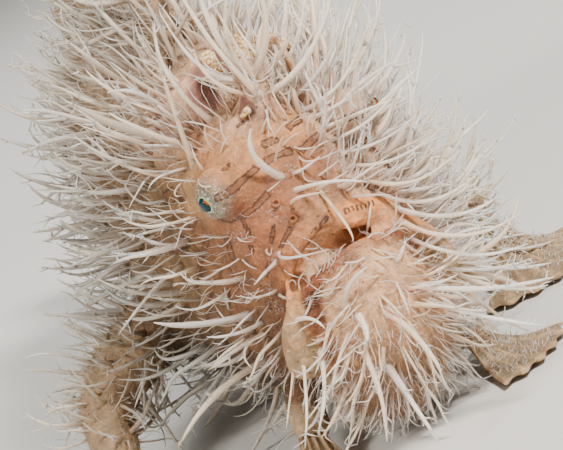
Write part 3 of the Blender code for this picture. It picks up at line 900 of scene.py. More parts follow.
def skinColour(points):
    # base colour of the skin by place: pink face, tan cheek, browner flank, peach chin and lip, dark mouth,
    # with painted shade on the low flank, in the jaw groove, the lip channel and the hollows, and painted
    # light in the mouth
    x, y, z = points.T
    wide, cheek = np.abs(x), 1 - smoothStep(10, 20, y)
    span = 6.0 + 3.5 * smoothStep(24, 34, z)
    front = (1 - smoothStep(7, 14, y)) * smoothStep(span + 3, span, np.abs(x + 0.8)) * smoothStep(6, 9, z)
    fin = smoothStep(0, 1.5, z - outline(y, 1) - 1) * (y > 40) + (y > 104)
    onJaw = (1 - smoothStep(1.0, 1.12, jawShare(points))) * (y < 12)
    lip = lipDistance(points) - 1.1 * smoothStep(21, 17, z)   # the knob is thicker than the lip
    onLip = 1 - smoothStep(1.7, 2.5, lip)
    rightUpper = smoothStep(1.0, -1.5, x) * smoothStep(26.5, 29, z)
    colour = laid(np.tile(tones([skinTones["flank"]]), (len(points), 1)), (
        # the low flank darker: partly its own browner skin, partly painted shade between the filaments
        ("flankLowBrownAndShade", smoothStep(30, 14, z) * smoothStep(21, 18, wide)),
        ("arm", smoothStep(20, 23, wide) * smoothStep(26, 22, z)),
        ("back", smoothStep(42, 54, z)),
        ("crest", smoothStep(42, 48, z) * smoothStep(30, 18, y)),
        ("belly", smoothStep(8, 3, z)),
        ("cheek", cheek),
        ("temple", cheek * smoothStep(36, 40, z) * smoothStep(-8, -11, x)),
        ("cheekLow", cheek * smoothStep(30, 18, z) * smoothStep(7, 12, -x)),
        ("leftFace", 0.8 * cheek * smoothStep(6, 10, x)),
        ("fin", smoothStep(9.5, 7, z) * smoothStep(9, 11, wide)),
        ("face", front),
        ("brow", front * smoothStep(38, 44, z)),
        ("muzzle", front * np.exp(-((x + 0.5) / 3.2) ** 2 - ((z - 34) / 3.6) ** 2)),
        ("leftFace", 0.8 * smoothStep(2.0, 5.0, x) * (y < 26) * smoothStep(28, 33, z)),
        ("crest", front * smoothStep(44, 48, z)),
        ("orbit", 0.9 * silverShare(points)),
        ("fin", np.clip(fin, 0, 1)),
        ("chin", onJaw),
        ("chinLow", 0.85 * onJaw * smoothStep(17, 10, z + 0.25 * x)),
        ("lip", onLip * (1 - 0.8 * rightUpper)),
        ("knob", onLip * smoothStep(28, 21, z)),
    ))
    # painted shade in the groove that parts the jaw bone from the chin and the cheek
    partingShade = np.exp(-((lip - 2.9) / 0.55) ** 2) * smoothStep(27, 24, z) * (y < 11)
    colour = colour * (1 - np.array(skinTones["groove"]) * partingShade[:, None])
    # painted shadow in the channel between the right column of the lip and the jaw
    channelShade = innerShare(points) * smoothStep(1.3, 1.8, lip) * smoothStep(4.6, 3.4, lip) * (x < 0)
    # the lining of the mouth: its own tan and red, laid lighter as painted light against the shade in the
    # cavity
    inside = (1 - smoothStep(1.0, 1.10, roomShare(points, mouth["rooms"]))) * smoothStep(0.8, 1.4, lip)
    corner = smoothStep(-6.0, -8.5, x) * smoothStep(28.6, 27.0, z)
    return laid(colour, (
        ("channelShade", 0.85 * channelShade * smoothStep(28.5, 27.5, z) * smoothStep(18, 20.5, z)),
        ("membrane", inside),
        ("mouth", inside * np.clip(corner + smoothStep(0.0, 1.5, x), 0, 1)),
        # the hollows painted darker: partly the skin's own mauve there, partly painted shade in the hollows
        ("pitMauveAndShade", (1 - smoothStep(1.0, 1.12, roomShare(points, hollows))) * (z < 54)),
    ))


skinTint, shares = skinColour(skinFish), rayShares()
skinTint[finsFrom:finsFrom + len(shares)] *= skinTones["web"] + skinTones["ray"] * shares[:, None]
addColour(skinMesh, "skinTint", skinTint)
lipAway = lipDistance(skinFish)
markAway = np.maximum(segmentDistance(skinFish, segments), 2.2 - lipAway)
addFloat(skinMesh, "markAway", np.where(roomShare(skinFish, mouth["rooms"]) < 1.02, 9.0, markAway))
# painted glints on the cheek: patches of noise where white specks are painted, kept off the lip
glinting = silver["cheek"] * np.clip(valueNoise(skinFish, 2.2, 31), 0, 1) * smoothStep(12, 6, skinFish[:, 1])
addFloat(skinMesh, "silver", np.maximum(silverShare(skinFish), glinting * (lipAway > 2.2)))
addFloat(skinMesh, "tickAway", segmentDistance(skinFish, ticks, marks["tickRagged"]))


def addNode(tree, kind, settings, output=0):
    # A node with its attributes, socket values and sockets linked from other nodes; gives one of its outputs.
    # The stops of a colour ramp are (place, hex colour), its two ends first.
    made = tree.nodes.new("ShaderNode" + kind)
    for key, value in settings.items():
        if isinstance(value, bpy.types.NodeSocket):
            tree.links.new(value, made.inputs[key])
        elif key == "stops":
            elements = made.color_ramp.elements
            for end, (place, code) in zip((elements[0], elements[1]), value):
                end.position, end.color = place, tone(code)
            for place, code in value[2:]:
                elements.new(place).color = tone(code)
        elif isinstance(key, str) and hasattr(made, key):
            setattr(made, key, value)
        else:
            made.inputs[key].default_value = value
    return made.outputs[output]


def paintedSilverGlints(tree, place, share, colour):
    # painted glints: white specks of about 0.15 mm where the skin is silvery
    grain = addNode(tree, "TexNoise", {"Scale": 3600.0, "Detail": 3.0, "Vector": place})
    raised = addNode(tree, "MapRange", {"From Min": 0.56, "From Max": 0.68, "To Max": 0.85, "Value": grain})
    shown = addNode(tree, "Math", {"operation": "MULTIPLY", 0: raised, 1: share})
    return addNode(tree, "Mix", {"data_type": "RGBA", 0: shown, 6: colour, 7: tone("#dcdad2")}, 2)


def wetSkin():
    # Moist scaleless skin: a satin shine, soft light under the surface, brown marks with thin dark outlines,
    # and white specks painted as glints
    made, tree, shader = newMaterial(
        "wet_scaleless_skin", Roughness=0.5, Subsurface_Weight=0.35, Subsurface_Radius=(1.0, 0.45, 0.25),
        Subsurface_Scale=0.0012, Specular_IOR_Level=0.4)
    place = addNode(tree, "TexCoord", {}, "Object")
    tint = addNode(tree, "Attribute", {"attribute_name": "skinTint"}, "Color")
    away, tick, silvery = (addNode(tree, "Attribute", {"attribute_name": name}, "Fac")
                           for name in ("markAway", "tickAway", "silver"))
    # blotches about 2 mm wide, and dapples about 0.6 mm wide
    mottle = addNode(tree, "TexNoise", {"Scale": 450.0, "Detail": 5.0, "Vector": place})
    dapple = addNode(tree, "TexNoise", {"Scale": 1500.0, "Detail": 3.0, "Vector": place})
    wide, fine = (addNode(tree, "MapRange", {"From Min": 0.3, "From Max": 0.7, "To Min": low, "To Max": high,
                                             "Value": source})
                  for source, low, high in ((mottle, 0.68, 1.25), (dapple, 0.78, 1.2)))
    both = addNode(tree, "Math", {"operation": "MULTIPLY", 0: wide, 1: fine})
    shaded = addNode(tree, "VectorMath", {"operation": "SCALE", "Vector": tint, "Scale": both})
    # a ragged edge for the marks
    ragged = addNode(tree, "TexNoise", {"Scale": 2200.0, "Detail": 2.0, "Vector": place})
    wobble = addNode(tree, "MapRange", {"To Min": -0.16, "To Max": 0.16, "Value": ragged})
    edge = addNode(tree, "Math", {"operation": "ADD", 0: away, 1: wobble})
    fill = addNode(tree, "MapRange", {"From Min": 0.03, "From Max": -0.03, "To Max": 0.62, "Value": edge})
    ring = addNode(tree, "Math", {"operation": "ABSOLUTE", 0: edge})
    dots = addNode(tree, "TexNoise", {"Scale": 3800.0, "Detail": 2.0, "Vector": place})
    gaps = addNode(tree, "MapRange", {"From Min": 0.42, "From Max": 0.56, "To Min": 0.07, "To Max": 0.0,
                                      "Value": dots})
    beaded = addNode(tree, "Math", {"operation": "ADD", 0: ring, 1: gaps})
    line = addNode(tree, "MapRange", {"From Min": 0.19, "From Max": 0.08, "To Max": 0.9, "Value": beaded})
    dark = addNode(tree, "MapRange", {"From Min": 0.05, "From Max": -0.02, "To Max": 0.85, "Value": tick})
    colour = shaded
    for share, code in ((fill, "#6a3d18"), (line, "#42210a"), (dark, "#3c1f10")):
        colour = addNode(tree, "Mix", {"data_type": "RGBA", 0: share, 6: colour, 7: tone(code)}, 2)
    glints = paintedSilverGlints(tree, place, silvery, colour)
    # dark and ochre specks of about 0.2 mm strewn thinly
    flecks = addNode(tree, "TexVoronoi", {"Scale": 560.0, "Vector": place}, "Distance")
    flecked = addNode(tree, "MapRange", {"From Min": 0.12, "From Max": 0.08, "To Max": 0.75, "Value": flecks})
    speckled = addNode(tree, "Mix", {"data_type": "RGBA", 0: flecked, 6: glints, 7: tone("#4a3216")}, 2)
    tree.links.new(speckled, shader.inputs["Base Color"])
    # grain of the skin, drawn at about 0.4 mm so that it shows, and soft wrinkles about 1.5 mm apart
    grain = addNode(tree, "TexNoise", {"Scale": 2600.0, "Detail": 6.0, "Roughness": 0.65, "Vector": place})
    creases = addNode(tree, "TexNoise", {"Scale": 640.0, "Detail": 3.0, "Distortion": 0.8, "Vector": place})
    bump = addNode(tree, "Bump", {"Strength": 0.7, "Distance": 0.0004, "Height": grain})
    bump = addNode(tree, "Bump", {"Strength": 0.6, "Distance": 0.0009, "Height": creases, "Normal": bump})
    tree.links.new(bump, shader.inputs["Normal"])
    return made


skinMesh.materials.clear()
skinMesh.materials.append(wetSkin())
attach(skin, "root")
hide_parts("head", "trunk", "tail_stem", "upper_jaw", "lower_jaw", "dorsal_spine_second",
            "dorsal_spine_third", "dorsal_fin", "anal_fin", "caudal_fin", "pectoral_arm_left",
            "pectoral_arm_right", "pectoral_fin_left", "pectoral_fin_right", "pelvic_fin_left",
            "pelvic_fin_right")
print("skin material")


def eyeBall(side):
    # a ball round its axis: rings by the turn from the axis, with the pupil bulging as a flatter lens
    columns, rows, edge = 96, 72, eyes["pupilTurn"]
    turn = np.pi * (np.arange(rows) + 0.35) / (rows - 0.3)
    turn = turn[turn < np.pi * 0.995][:, None]
    degrees = np.degrees(turn[:, 0])
    bulge = eyes["pupilBulge"] * (1 - smoothStep(0.55, 1.0, degrees / edge))
    reach = eyes["radius"] + bulge - eyes["groove"] * np.exp(-((degrees - edge * 1.06) / 2.2) ** 2)
    axis = unit(np.array(eyes["axis"]) * (side, 1, 1))
    across = unit(np.cross(axis, (0, 0, 1.0)))
    ring = circle(columns, across, np.cross(across, axis))
    points = (np.cos(turn)[..., None] * axis + np.sin(turn)[..., None] * ring) * reach[:, None, None]
    grain = eyes["grain"] * valueNoise(points, 0.35, 9) * smoothStep(edge * 1.2, edge * 1.6, degrees)[:, None]
    points = points + unit(points) * grain[..., None]
    centre = np.array(fish["eyeCentre"]) * (side, 1, 1)
    shape = closedRings(points + centre, centre + axis * reach[0], centre - axis * reach[-1])
    return shape, np.concatenate([np.repeat(degrees, columns), [0.0, 180.0]])


def eyeGlaze():
    # Wet eye: a silvery iris grained like the skin with white specks painted as glints, and a dark teal lens
    # with a green rim, under a clear gloss
    made, tree, shader = newMaterial("wet_eye_glaze", Roughness=0.12, IOR=1.33)
    place = addNode(tree, "TexCoord", {}, "Object")
    tint = addNode(tree, "Attribute", {"attribute_name": "skinTint"}, "Color")
    turn, away, sweep, silvery = (addNode(tree, "Attribute", {"attribute_name": name}, "Fac")
                                  for name in ("pupilTurn", "markAway", "pupilSweep", "silver"))
    grain = addNode(tree, "TexNoise", {"Scale": 2200.0, "Detail": 4.0, "Vector": place})
    shade = addNode(tree, "MapRange", {"From Min": 0.3, "From Max": 0.7, "To Min": 0.6, "To Max": 1.2,
                                       "Value": grain})
    shaded = addNode(tree, "VectorMath", {"operation": "SCALE", "Vector": tint, "Scale": shade})
    fill = addNode(tree, "MapRange", {"From Min": 0.05, "From Max": -0.05, "To Max": 0.6, "Value": away})
    glints = paintedSilverGlints(tree, place, silvery, shaded)
    marked = addNode(tree, "Mix", {"data_type": "RGBA", 0: fill, 6: glints, 7: tone("#5c4127")}, 2)
    # the lens: teal, turning orange, then green towards one edge
    lens = addNode(tree, "ValToRGB", {"Fac": sweep, "stops": (
        (0.0, "#03161f"), (1.0, "#2fc46a"), (0.45, "#042c3c"), (0.87, "#0a2a20"), (0.925, "#9c2f0c"),
        (0.975, "#8a7a1c"))})
    edge = eyes["pupilTurn"]
    inLens = addNode(tree, "MapRange", {"From Min": edge + 0.4, "From Max": edge - 0.8, "Value": turn})
    seen = addNode(tree, "Mix", {"data_type": "RGBA", 0: inLens, 6: marked, 7: lens}, 2)
    rim = addNode(tree, "Math", {"operation": "SUBTRACT", 0: turn, 1: edge + 1.6})
    rimAway = addNode(tree, "Math", {"operation": "ABSOLUTE", 0: rim})
    onRim = addNode(tree, "MapRange", {"From Min": 2.0, "From Max": 0.6, "To Max": 0.85, "Value": rimAway})
    rimmed = addNode(tree, "Mix", {"data_type": "RGBA", 0: onRim, 6: seen, 7: tone("#9fd6a0")}, 2)
    tree.links.new(rimmed, shader.inputs["Base Color"])
    bump = addNode(tree, "Bump", {"Strength": 0.35, "Distance": 0.00015, "Height": grain})
    tree.links.new(bump, shader.inputs["Normal"])
    return made


def addPiece(name, shape, look, slot, *replaced):
    # a closed shape in the fish's millimetres as a finished piece
    points, quads, tris = shape
    made = addObject(name, meshFromArrays(name, toFrameMm(points) / metre, quads, tris))
    made.data.materials.append(look)
    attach(made, "root")
    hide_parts(*replaced)
    return made.data


eyeLook = eyeGlaze()
for name, side in (("eye_left", 1), ("eye_right", -1)):
    (points, quads, tris), turned = eyeBall(side)
    ballMesh = addPiece(f"{name}_ball", (points, quads, tris), eyeLook, "eye", name)
    addFloat(ballMesh, "pupilTurn", turned)
    addFloat(ballMesh, "markAway", segmentDistance(points, segments))
    addColour(ballMesh, "skinTint", skinColour(points))
    addFloat(ballMesh, "silver", silverShare(points))
    mirror = np.array((side, 1, 1))
    lensWide = eyes["radius"] * math.sin(math.radians(eyes["pupilTurn"]))
    swept = (points - mirror * fish["eyeCentre"]) @ (mirror * eyes["pupilWay"])
    addFloat(ballMesh, "pupilSweep", np.clip(swept / lensWide * 0.5 + 0.5, 0, 1))
print("eyes")


lure = {
    "rod": ((4.6, 6.4, 42), (8.4, 8.6, 59), (4.4, 14.6, 51.6)), "rodRadius": (0.5, 0.36),
    "rodSteps": 60, "rodSides": 16,
    # lobes: start, bend, end, radius at the root and at the tip
    "lobes": (
        ((4.4, 14.6, 51.0), (2.6, 14.6, 52.6), (1.4, 15.4, 54.6), 0.9, 0.8),
        ((4.8, 14.8, 51.2), (6.6, 14.6, 52.5), (7.3, 14.0, 53.8), 1.1, 1.25),
        ((4.8, 15.2, 51.0), (8.2, 15.0, 51.6), (10.2, 13.8, 51.0), 0.9, 1.0),
        ((-1.6, 11.2, 48.7), (-1.2, 14.0, 51.2), (-0.9, 15.8, 55.2), 0.85, 1.15),
        ((3.8, 14.4, 50.6), (1.0, 13.0, 50.2), (-1.4, 13.2, 50.6), 0.8, 0.7),
        ((4.6, 15.6, 51.4), (4.6, 16.6, 53.4), (4.2, 17.4, 55.0), 0.8, 0.6),
        ((-2.6, 7.6, 47.0), (-2.2, 7.0, 47.6), (-1.7, 6.6, 47.9), 0.3, 0.35),
    ),
    "swell": 0.25, "grid": 22, "bumps": 0.16, "lumps": 0.12,
}


def joinShapes(shapes):
    # shapes of points, quads and triangles in one
    starts = np.cumsum([0] + [len(shape[0]) for shape in shapes])
    return [np.concatenate([shape[0] for shape in shapes])] + [
        np.concatenate([shape[k] + start for shape, start in zip(shapes, starts)]) for k in (1, 2)]


def lureLobes():
    shapes, grid = [], lure["grid"]
    for *path, thick, thin in lure["lobes"]:
        points, quads, tris = horn(*path, thick, thin, lure["swell"], grid, grid)
        way = unit(points - nearestOn(points, bentPath(*path, grid)))
        height = lure["bumps"] * valueNoise(points, 0.45, 5) + lure["lumps"] * valueNoise(points, 1.1, 6)
        shapes.append((points + way * height[:, None], quads, tris))
    return joinShapes(shapes)


def lureThread():
    path = bentPath(*lure["rod"], lure["rodSteps"])
    return tube(path, np.linspace(*lure["rodRadius"], len(path)), lure["rodSides"])


def grainyLureSkin():
    # Granular gold-cream skin: matt grains over brown gaps
    made, tree, shader = newMaterial("grainy_lure_skin", Roughness=0.5, Subsurface_Weight=0.2,
                                     Subsurface_Radius=(1.0, 0.6, 0.3), Subsurface_Scale=0.0006)
    place = addNode(tree, "TexCoord", {}, "Object")
    cells = addNode(tree, "TexVoronoi", {"Scale": 2600.0, "Vector": place}, "Distance")
    blots = addNode(tree, "TexNoise", {"Scale": 700.0, "Detail": 3.0, "Vector": place})
    both = addNode(tree, "Math", {"operation": "MULTIPLY_ADD", 0: cells, 1: 0.55, 2: blots})
    ramp = addNode(tree, "ValToRGB", {
        "Fac": both, "stops": ((0.55, "#eadcbd"), (0.95, "#7a4d1c"), (0.75, "#c49a5c"))})
    tree.links.new(ramp, shader.inputs["Base Color"])
    bump = addNode(tree, "Bump", {"Strength": 0.6, "Distance": 0.0002, "invert": True, "Height": cells})
    tree.links.new(bump, shader.inputs["Normal"])
    return made


def sheerThread():
    # Clear pink skin of the rod that carries the lure: soft and lit through, with bands about 2 mm apart
    made, tree, shader = newMaterial("clear_rod_skin", Roughness=0.35, Subsurface_Weight=0.5,
                                     Subsurface_Radius=(1.0, 0.6, 0.4), Subsurface_Scale=0.001)
    place = addNode(tree, "TexCoord", {}, "Object")
    bands = addNode(tree, "TexNoise", {"Scale": 480.0, "Detail": 2.0, "Vector": place})
    ramp = addNode(tree, "ValToRGB", {"Fac": bands, "stops": ((0.38, "#8a6038"), (0.56, "#cdb193"))})
    tree.links.new(ramp, shader.inputs["Base Color"])
    return made


addPiece("lure_lobes", lureLobes(), grainyLureSkin(), "lure", "lure")
addPiece("lure_thread", lureThread(), sheerThread(), "lure", "lure_rod")


def sheerFilament():
    # Sheer filament skin: milky and lit through, pink like the skin at the root and white beyond, greyer
    # where shade is painted on the right flank and deep at the roots, with ochre dust on some tips
    made, tree, shader = newMaterial(
        "sheer_filament_skin", Roughness=0.36, Subsurface_Weight=0.55, Subsurface_Radius=(1.0, 0.8, 0.65),
        Subsurface_Scale=0.0012, Specular_IOR_Level=0.5)
    place = addNode(tree, "TexCoord", {}, "Object")
    tint = addNode(tree, "Attribute", {"attribute_name": "tuftTint"}, "Color")
    speck = addNode(tree, "Attribute", {"attribute_name": "dust"}, "Fac")
    grain = addNode(tree, "TexNoise", {"Scale": 3200.0, "Detail": 3.0, "Vector": place})
    shade = addNode(tree, "MapRange", {"From Min": 0.3, "From Max": 0.7, "To Min": 0.9, "To Max": 1.08,
                                       "Value": grain})
    shaded = addNode(tree, "VectorMath", {"operation": "SCALE", "Vector": tint, "Scale": shade})
    dusty = addNode(tree, "Math", {"operation": "MULTIPLY_ADD", 0: grain, 1: 1.6, 2: -1.05})
    shown = addNode(tree, "Math", {"operation": "ADD", 0: dusty, 1: speck})
    dust = addNode(tree, "MapRange", {"From Min": 0.25, "From Max": 0.6, "To Max": 0.8, "Value": shown})
    mix = addNode(tree, "Mix", {"data_type": "RGBA", 0: dust, 6: shaded, 7: tone("#9a7420")}, 2)
    tree.links.new(mix, shader.inputs["Base Color"])
    bump = addNode(tree, "Bump", {"Strength": 0.25, "Distance": 0.0002, "Height": grain})
    tree.links.new(bump, shader.inputs["Normal"])
    return made


coatLook = sheerFilament()
islands = {
    # where each part's unwrap lies: lowest u, lowest v, width, height
    "body": (0.01, 0.01, 0.62, 0.62), "jaw": (0.65, 0.01, 0.34, 0.3), "arm_left": (0.65, 0.33, 0.16, 0.14),
    "arm_right": (0.83, 0.33, 0.16, 0.14), "hind": (0.01, 0.65, 0.5, 0.34), "front": (0.53, 0.65, 0.46, 0.34),
    "crest": (0.65, 0.49, 0.34, 0.14),
}
patch = 0.003                             # width of a tuft's own patch of the unwrap


def place01(value, low, high):
    return np.clip((value - low) / (high - low), 0, 1)


def turn01(across, ahead):
    return place01(np.arctan2(across, ahead), -np.pi, np.pi)


def skinUnwrap(points, way):
    # An unwrap of the skin's own shape. The body by the turn round its middle line against the root of
    # the distance behind the snout, the jaw by the turn round its ball, the rods by height, and the fins
    # laid flat with their two faces side by side.
    x, y, z = points.T
    wide, (top, bottom, width) = np.abs(x), (outline(y, column) for column in (1, 2, 3))
    hind = ((z - top > 0.8) & (y > 44)) | (y > 102) | ((z < bottom - 0.8) & (y > 72))
    front = (z < 7) & (wide > 10) & ~hind & ((wide > 16) | (y < 12))
    arm = (wide > 16.8) & (y > 30) & (y < 55) & (z >= 7) & (z < 30) & ~hind
    armPlace = turn01(z - 16, y - 44), place01(wide, 16, 40)
    middle = mouth["jaw"][0]
    uv = np.zeros((len(points), 2))
    for name, here, u, v in (
        ("body", y > -99, turn01(x / np.maximum(width, 1), (z - (top + bottom) / 2)
                                 / np.maximum((top - bottom) / 2, 1)),
         place01(np.sqrt(np.clip(y, 0, None) / fish["length"]), 0, 1)),
        ("hind", hind, place01(y, 40, 132) * 0.5 + np.where(way[:, 0] > 0, 0.5, 0.0), place01(z, 0, 82)),
        ("front", front, place01(x, -50, 50), place01(y, -8, 45) * 0.5 + np.where(way[:, 2] > 0, 0.5, 0.0)),
        ("arm_left", arm & (x > 0), *armPlace), ("arm_right", arm & (x < 0), *armPlace),
        ("jaw", (jawShare(points) < 1.2) & (y < 9) & ~front,
         turn01(x - middle[0], -(y - middle[1] - 6)), place01(z, 0, 30)),
        ("crest", (z > top + 1.2) & (y < 42), turn01(x, y - np.where(y < 20, 8, 32)), place01(z, 44, 78)),
    ):
        left, low, across, high = islands[name]
        uv[here] = np.stack([left + across * u, low + high * v], -1)[here]
    return uv


def frames(path, rng):
    # two directions square to each curve all along it
    ahead = unit(np.gradient(path, axis=1))
    chord = unit(path[:, -1] - path[:, 0])
    ref = unit(np.cross(chord, rng.normal(size=chord.shape)))
    side = unit(ref[:, None] - ahead * np.sum(ref[:, None] * ahead, axis=-1, keepdims=True))
    return ahead, side, np.cross(ahead, side)


def curveWeights(t):
    return np.stack([(1 - t) ** 3, 3 * t * (1 - t) ** 2, 3 * t * t * (1 - t), t ** 3], -1)


tuftShape = {
    "taper": 0.52, "tipTaper": 0.34, "flare": 0.55, "flareReach": 0.05, "knobs": 0.10,
    # the root's colour is the skin's own tint; carried far up the filament it stands partly as painted shade
    # deep in the coat
    "fadeReach": 0.30,                    # how far the root's colour reaches, as a share of the length
    "dustFrom": 0.72,
}


def filamentTubes(tufts, rings, sides, seed):
    # Tapering tubes along cubic curves, flared at the root. tufts holds controls (n, 4, 3), radius (n),
    # curl (n), root colour and tip colour (n, 3), dust (n) and atlas place (n, 2).
    rng = np.random.default_rng(seed)
    count = len(tufts["radius"])
    t = np.linspace(0, 1, rings)
    path = np.einsum("rk,nkd->nrd", curveWeights(t), tufts["controls"])
    ahead, side, across = frames(path, rng)
    long = np.linalg.norm(path[:, -1] - path[:, 0], axis=-1)
    phase = rng.uniform(0, 2 * np.pi, (count, 2, 1))
    bends = rng.uniform(0.7, 1.5, (count, 1))
    sway = (tufts["curl"] * long)[:, None] * t ** 1.3
    for way, start in ((side, phase[:, 0]), (across, phase[:, 1])):
        path = path + way * (sway * (np.sin(2 * np.pi * bends * t + start) - np.sin(start)))[..., None]
    ahead, side, across = frames(path, rng)
    taper = 1 - tuftShape["taper"] * t - tuftShape["tipTaper"] * t ** 6
    taper = taper + tuftShape["flare"] * np.exp(-t / tuftShape["flareReach"])
    wave = np.sin(2 * np.pi * (rng.uniform(1, 3, (count, 1)) * t + rng.uniform(0, 1, (count, 1))))
    radius = tufts["radius"][:, None] * taper * (1 + tuftShape["knobs"] * wave)
    body = path[:, :, None] + circle(sides, side, across) * radius[:, :, None, None]
    tip = path[:, -1] + ahead[:, -1] * radius[:, -1:] * 0.9
    root = path[:, 0] - ahead[:, 0] * radius[:, :1] * 0.3
    points = np.concatenate([body.reshape(count, -1, 3), tip[:, None], root[:, None]], axis=1)
    quads, i, j = ringQuads(rings, sides)
    edge, last, pole = np.arange(sides), (rings - 1) * sides, np.full(sides, rings * sides)
    caps = np.concatenate([np.stack([last + edge, last + (edge + 1) % sides, pole], -1),
                           np.stack([(edge + 1) % sides, edge, pole + 1], -1)])
    start = (np.arange(count) * points.shape[1])[:, None, None]
    quadUv = columnsOf(np.stack([j, j + 1, j + 1, j], -1) / sides,
                       np.stack([i, i, i + 1, i + 1], -1) / (rings - 1))
    capUv = np.concatenate([columnsOf(np.stack(turn, -1) / sides, end) for turn, end in (
        ((edge, edge + 1, edge + 0.5), 1.0), ((edge + 1, edge, edge + 0.5), 0.0))])
    quadUv, capUv = ((tufts["atlas"][:, None] + (uv.reshape(-1, 2) - 0.5) * patch).reshape(-1, 2)
                     for uv in (quadUv, capUv))
    shade = np.concatenate([np.repeat(t, sides), [1.0, 0.0]])
    # the root colour fades to the tip colour along the length, its reach partly painted shade deep in the
    # coat
    fade = (1 - np.exp(-shade / tuftShape["fadeReach"]))[None, :, None]
    colours = tufts["rootColour"][:, None] * (1 - fade) + tufts["tipColour"][:, None] * fade
    dust = tufts["dust"][:, None] * smoothStep(tuftShape["dustFrom"], 1.0, shade)
    return (points.reshape(-1, 3), (quads[None] + start).reshape(-1, 4), (caps[None] + start).reshape(-1, 3),
            quadUv, capUv, colours.reshape(-1, 3), dust.ravel())


def addCoat(name, groups):
    # one joined piece of filaments, with the bake map, colour and dust of each
    points, quads, tris = joinShapes(groups)
    quadUv, capUv, colours, dust = (np.concatenate([group[k] for group in groups]) for k in range(3, 7))
    points[:, 2] = np.maximum(points[:, 2], coat["lowest"])
    mesh = meshFromArrays(name, points / metre, quads, tris)
    uv = np.concatenate([quadUv, capUv])
    mesh.uv_layers.new(name="OFBake").data.foreach_set("uv", np.ascontiguousarray(uv, np.float32).ravel())
    addColour(mesh, "tuftTint", colours)
    addFloat(mesh, "dust", dust)
    mesh.materials.append(coatLook)
    made = addObject(name, mesh)
    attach(made, "root")
    print(name, len(quads) * 2 + len(tris), "triangles")


coat = {
    "seed": 7, "fullness": 1.9,
    "sunk": 0.35,                         # how deep in the skin a filament starts
    "lowest": 0.05,                       # least height over the floor
    # stout, middling and fine filaments: how many to a square millimetre, room between roots, length in mm,
    # radius at the root, curl as a share of the length, how far they bend, and rings and sides
    "stout": {"density": 0.030, "room": 2.6, "length": (8.0, 14.5), "radius": (0.28, 0.50), "curl": 0.025,
              "bend": 0.20, "lean": (0.35, 1.0), "lift": 0.75, "bare": 1.0, "grid": (14, 7)},
    "middling": {"density": 0.066, "room": 1.6, "length": (5.0, 10.5), "radius": (0.14, 0.25), "curl": 0.045,
                 "bend": 0.32, "lean": (0.3, 1.1), "lift": 0.8, "bare": 1.0, "grid": (12, 6)},
    "fine": {"density": 0.17, "room": 0.9, "length": (2.5, 7.0), "radius": (0.05, 0.10), "curl": 0.09,
             "bend": 0.5, "lean": (0.2, 1.1), "lift": 0.9, "bare": 0.9, "grid": (10, 4)},
    "branchGrid": (8, 5), "twigGrid": (6, 4), "forked": 0.4, "forkRadius": 0.28, "twigs": 3,
    # how many times denser each kind stands in a zone, in the same order
    "denser": {
        "rightCheek": (0.8, 1.0, 1.1), "lowFlank": (0.9, 0.6, 0.5), "leftCheek": (2.4, 5.4, 7.0),
        "brow": (2.2, 2.6, 2.6), "back": (1.5, 1.5, 1.5), "spine": (4, 4, 4), "arm": (3.4, 3.4, 2.2),
        "jaw": (3.0, 4.0, 6.0), "fin": (1.3, 1.0, 0.45), "paw": (0.4, 1.3, 1.1),
    },
    "shorter": {"arm": 0.8, "fin": 0.75, "paw": 0.4},
    # tip colours to draw from, and greyer, cooler copies of them painted as shade on the right flank
    "milk": ("#ece2d3", "#f3ebe0", "#e8d8c1", "#e4e1db"),
    "shadedCool": ("#c4c0b6", "#bab8b0", "#cdc4b4", "#aeaa9e"),
    "dusty": 0.22,                        # share of tufts with ochre dust at the tip
    "onMark": (0.72, 0.62, 0.52),         # how much darker a root is on a brown mark
}
triCrossed = triCross(skinFrame)
triAreas, triWay = np.linalg.norm(triCrossed, axis=1) / 2, unit(triCrossed)


def zonesOf(points):
    # masks of the places where the coat differs, and how bare the middle of the face is
    x, y, z = points.T
    wide, top, bottom = np.abs(x), outline(y, 1), outline(y, 2)
    blocked = lipDistance(points) < np.where((z < 24) & (x < 0), 3.5, 2.6)
    blocked |= (roomShare(points, mouth["rooms"]) < 1.12) | (roomShare(points, hollows) < 1.2)
    blocked |= eyeDistance(points) < 4.3
    jaw = (jawShare(points) < 1.15) & (y < 10) & ~blocked
    centreFace = np.sqrt(((x + 5.0) / 6.8) ** 2 + ((z - 37.3) / 8.6) ** 2)
    return {
        "bare": (1 - smoothStep(0.85, 1.35, centreFace)) * (1 - smoothStep(9, 15, y)),
        "blocked": blocked, "jaw": jaw,
        "fin": (((z > top + 1.5) & (y > 44)) | (y > 104) | ((z < bottom - 1.5) & (y > 72))) & ~blocked,
        "paw": (z < 6.5) & (wide > 9.5) & ((y < 12.5) | (wide > 24)) & ~blocked,
        "rightCheek": (y < 14) & (x < -6) & ~jaw, "leftCheek": (y < 22) & (x > 2.5) & ~jaw,
        "brow": (y < 24) & (z > 44),
        "back": (y >= 24) & (z > 42) | (y > 70) | (x > 12) | (x < -10) & (y > 44),
        "arm": (wide > 20) & (z < 28) & (y > 28) & (y < 58),
        "lowFlank": (y > 13) & (y < 40) & (x < -6) & (z < 36) & (z > 6),
        "spine": (z > top + 1.5) & (y > 25) & (y <= 43),
    }


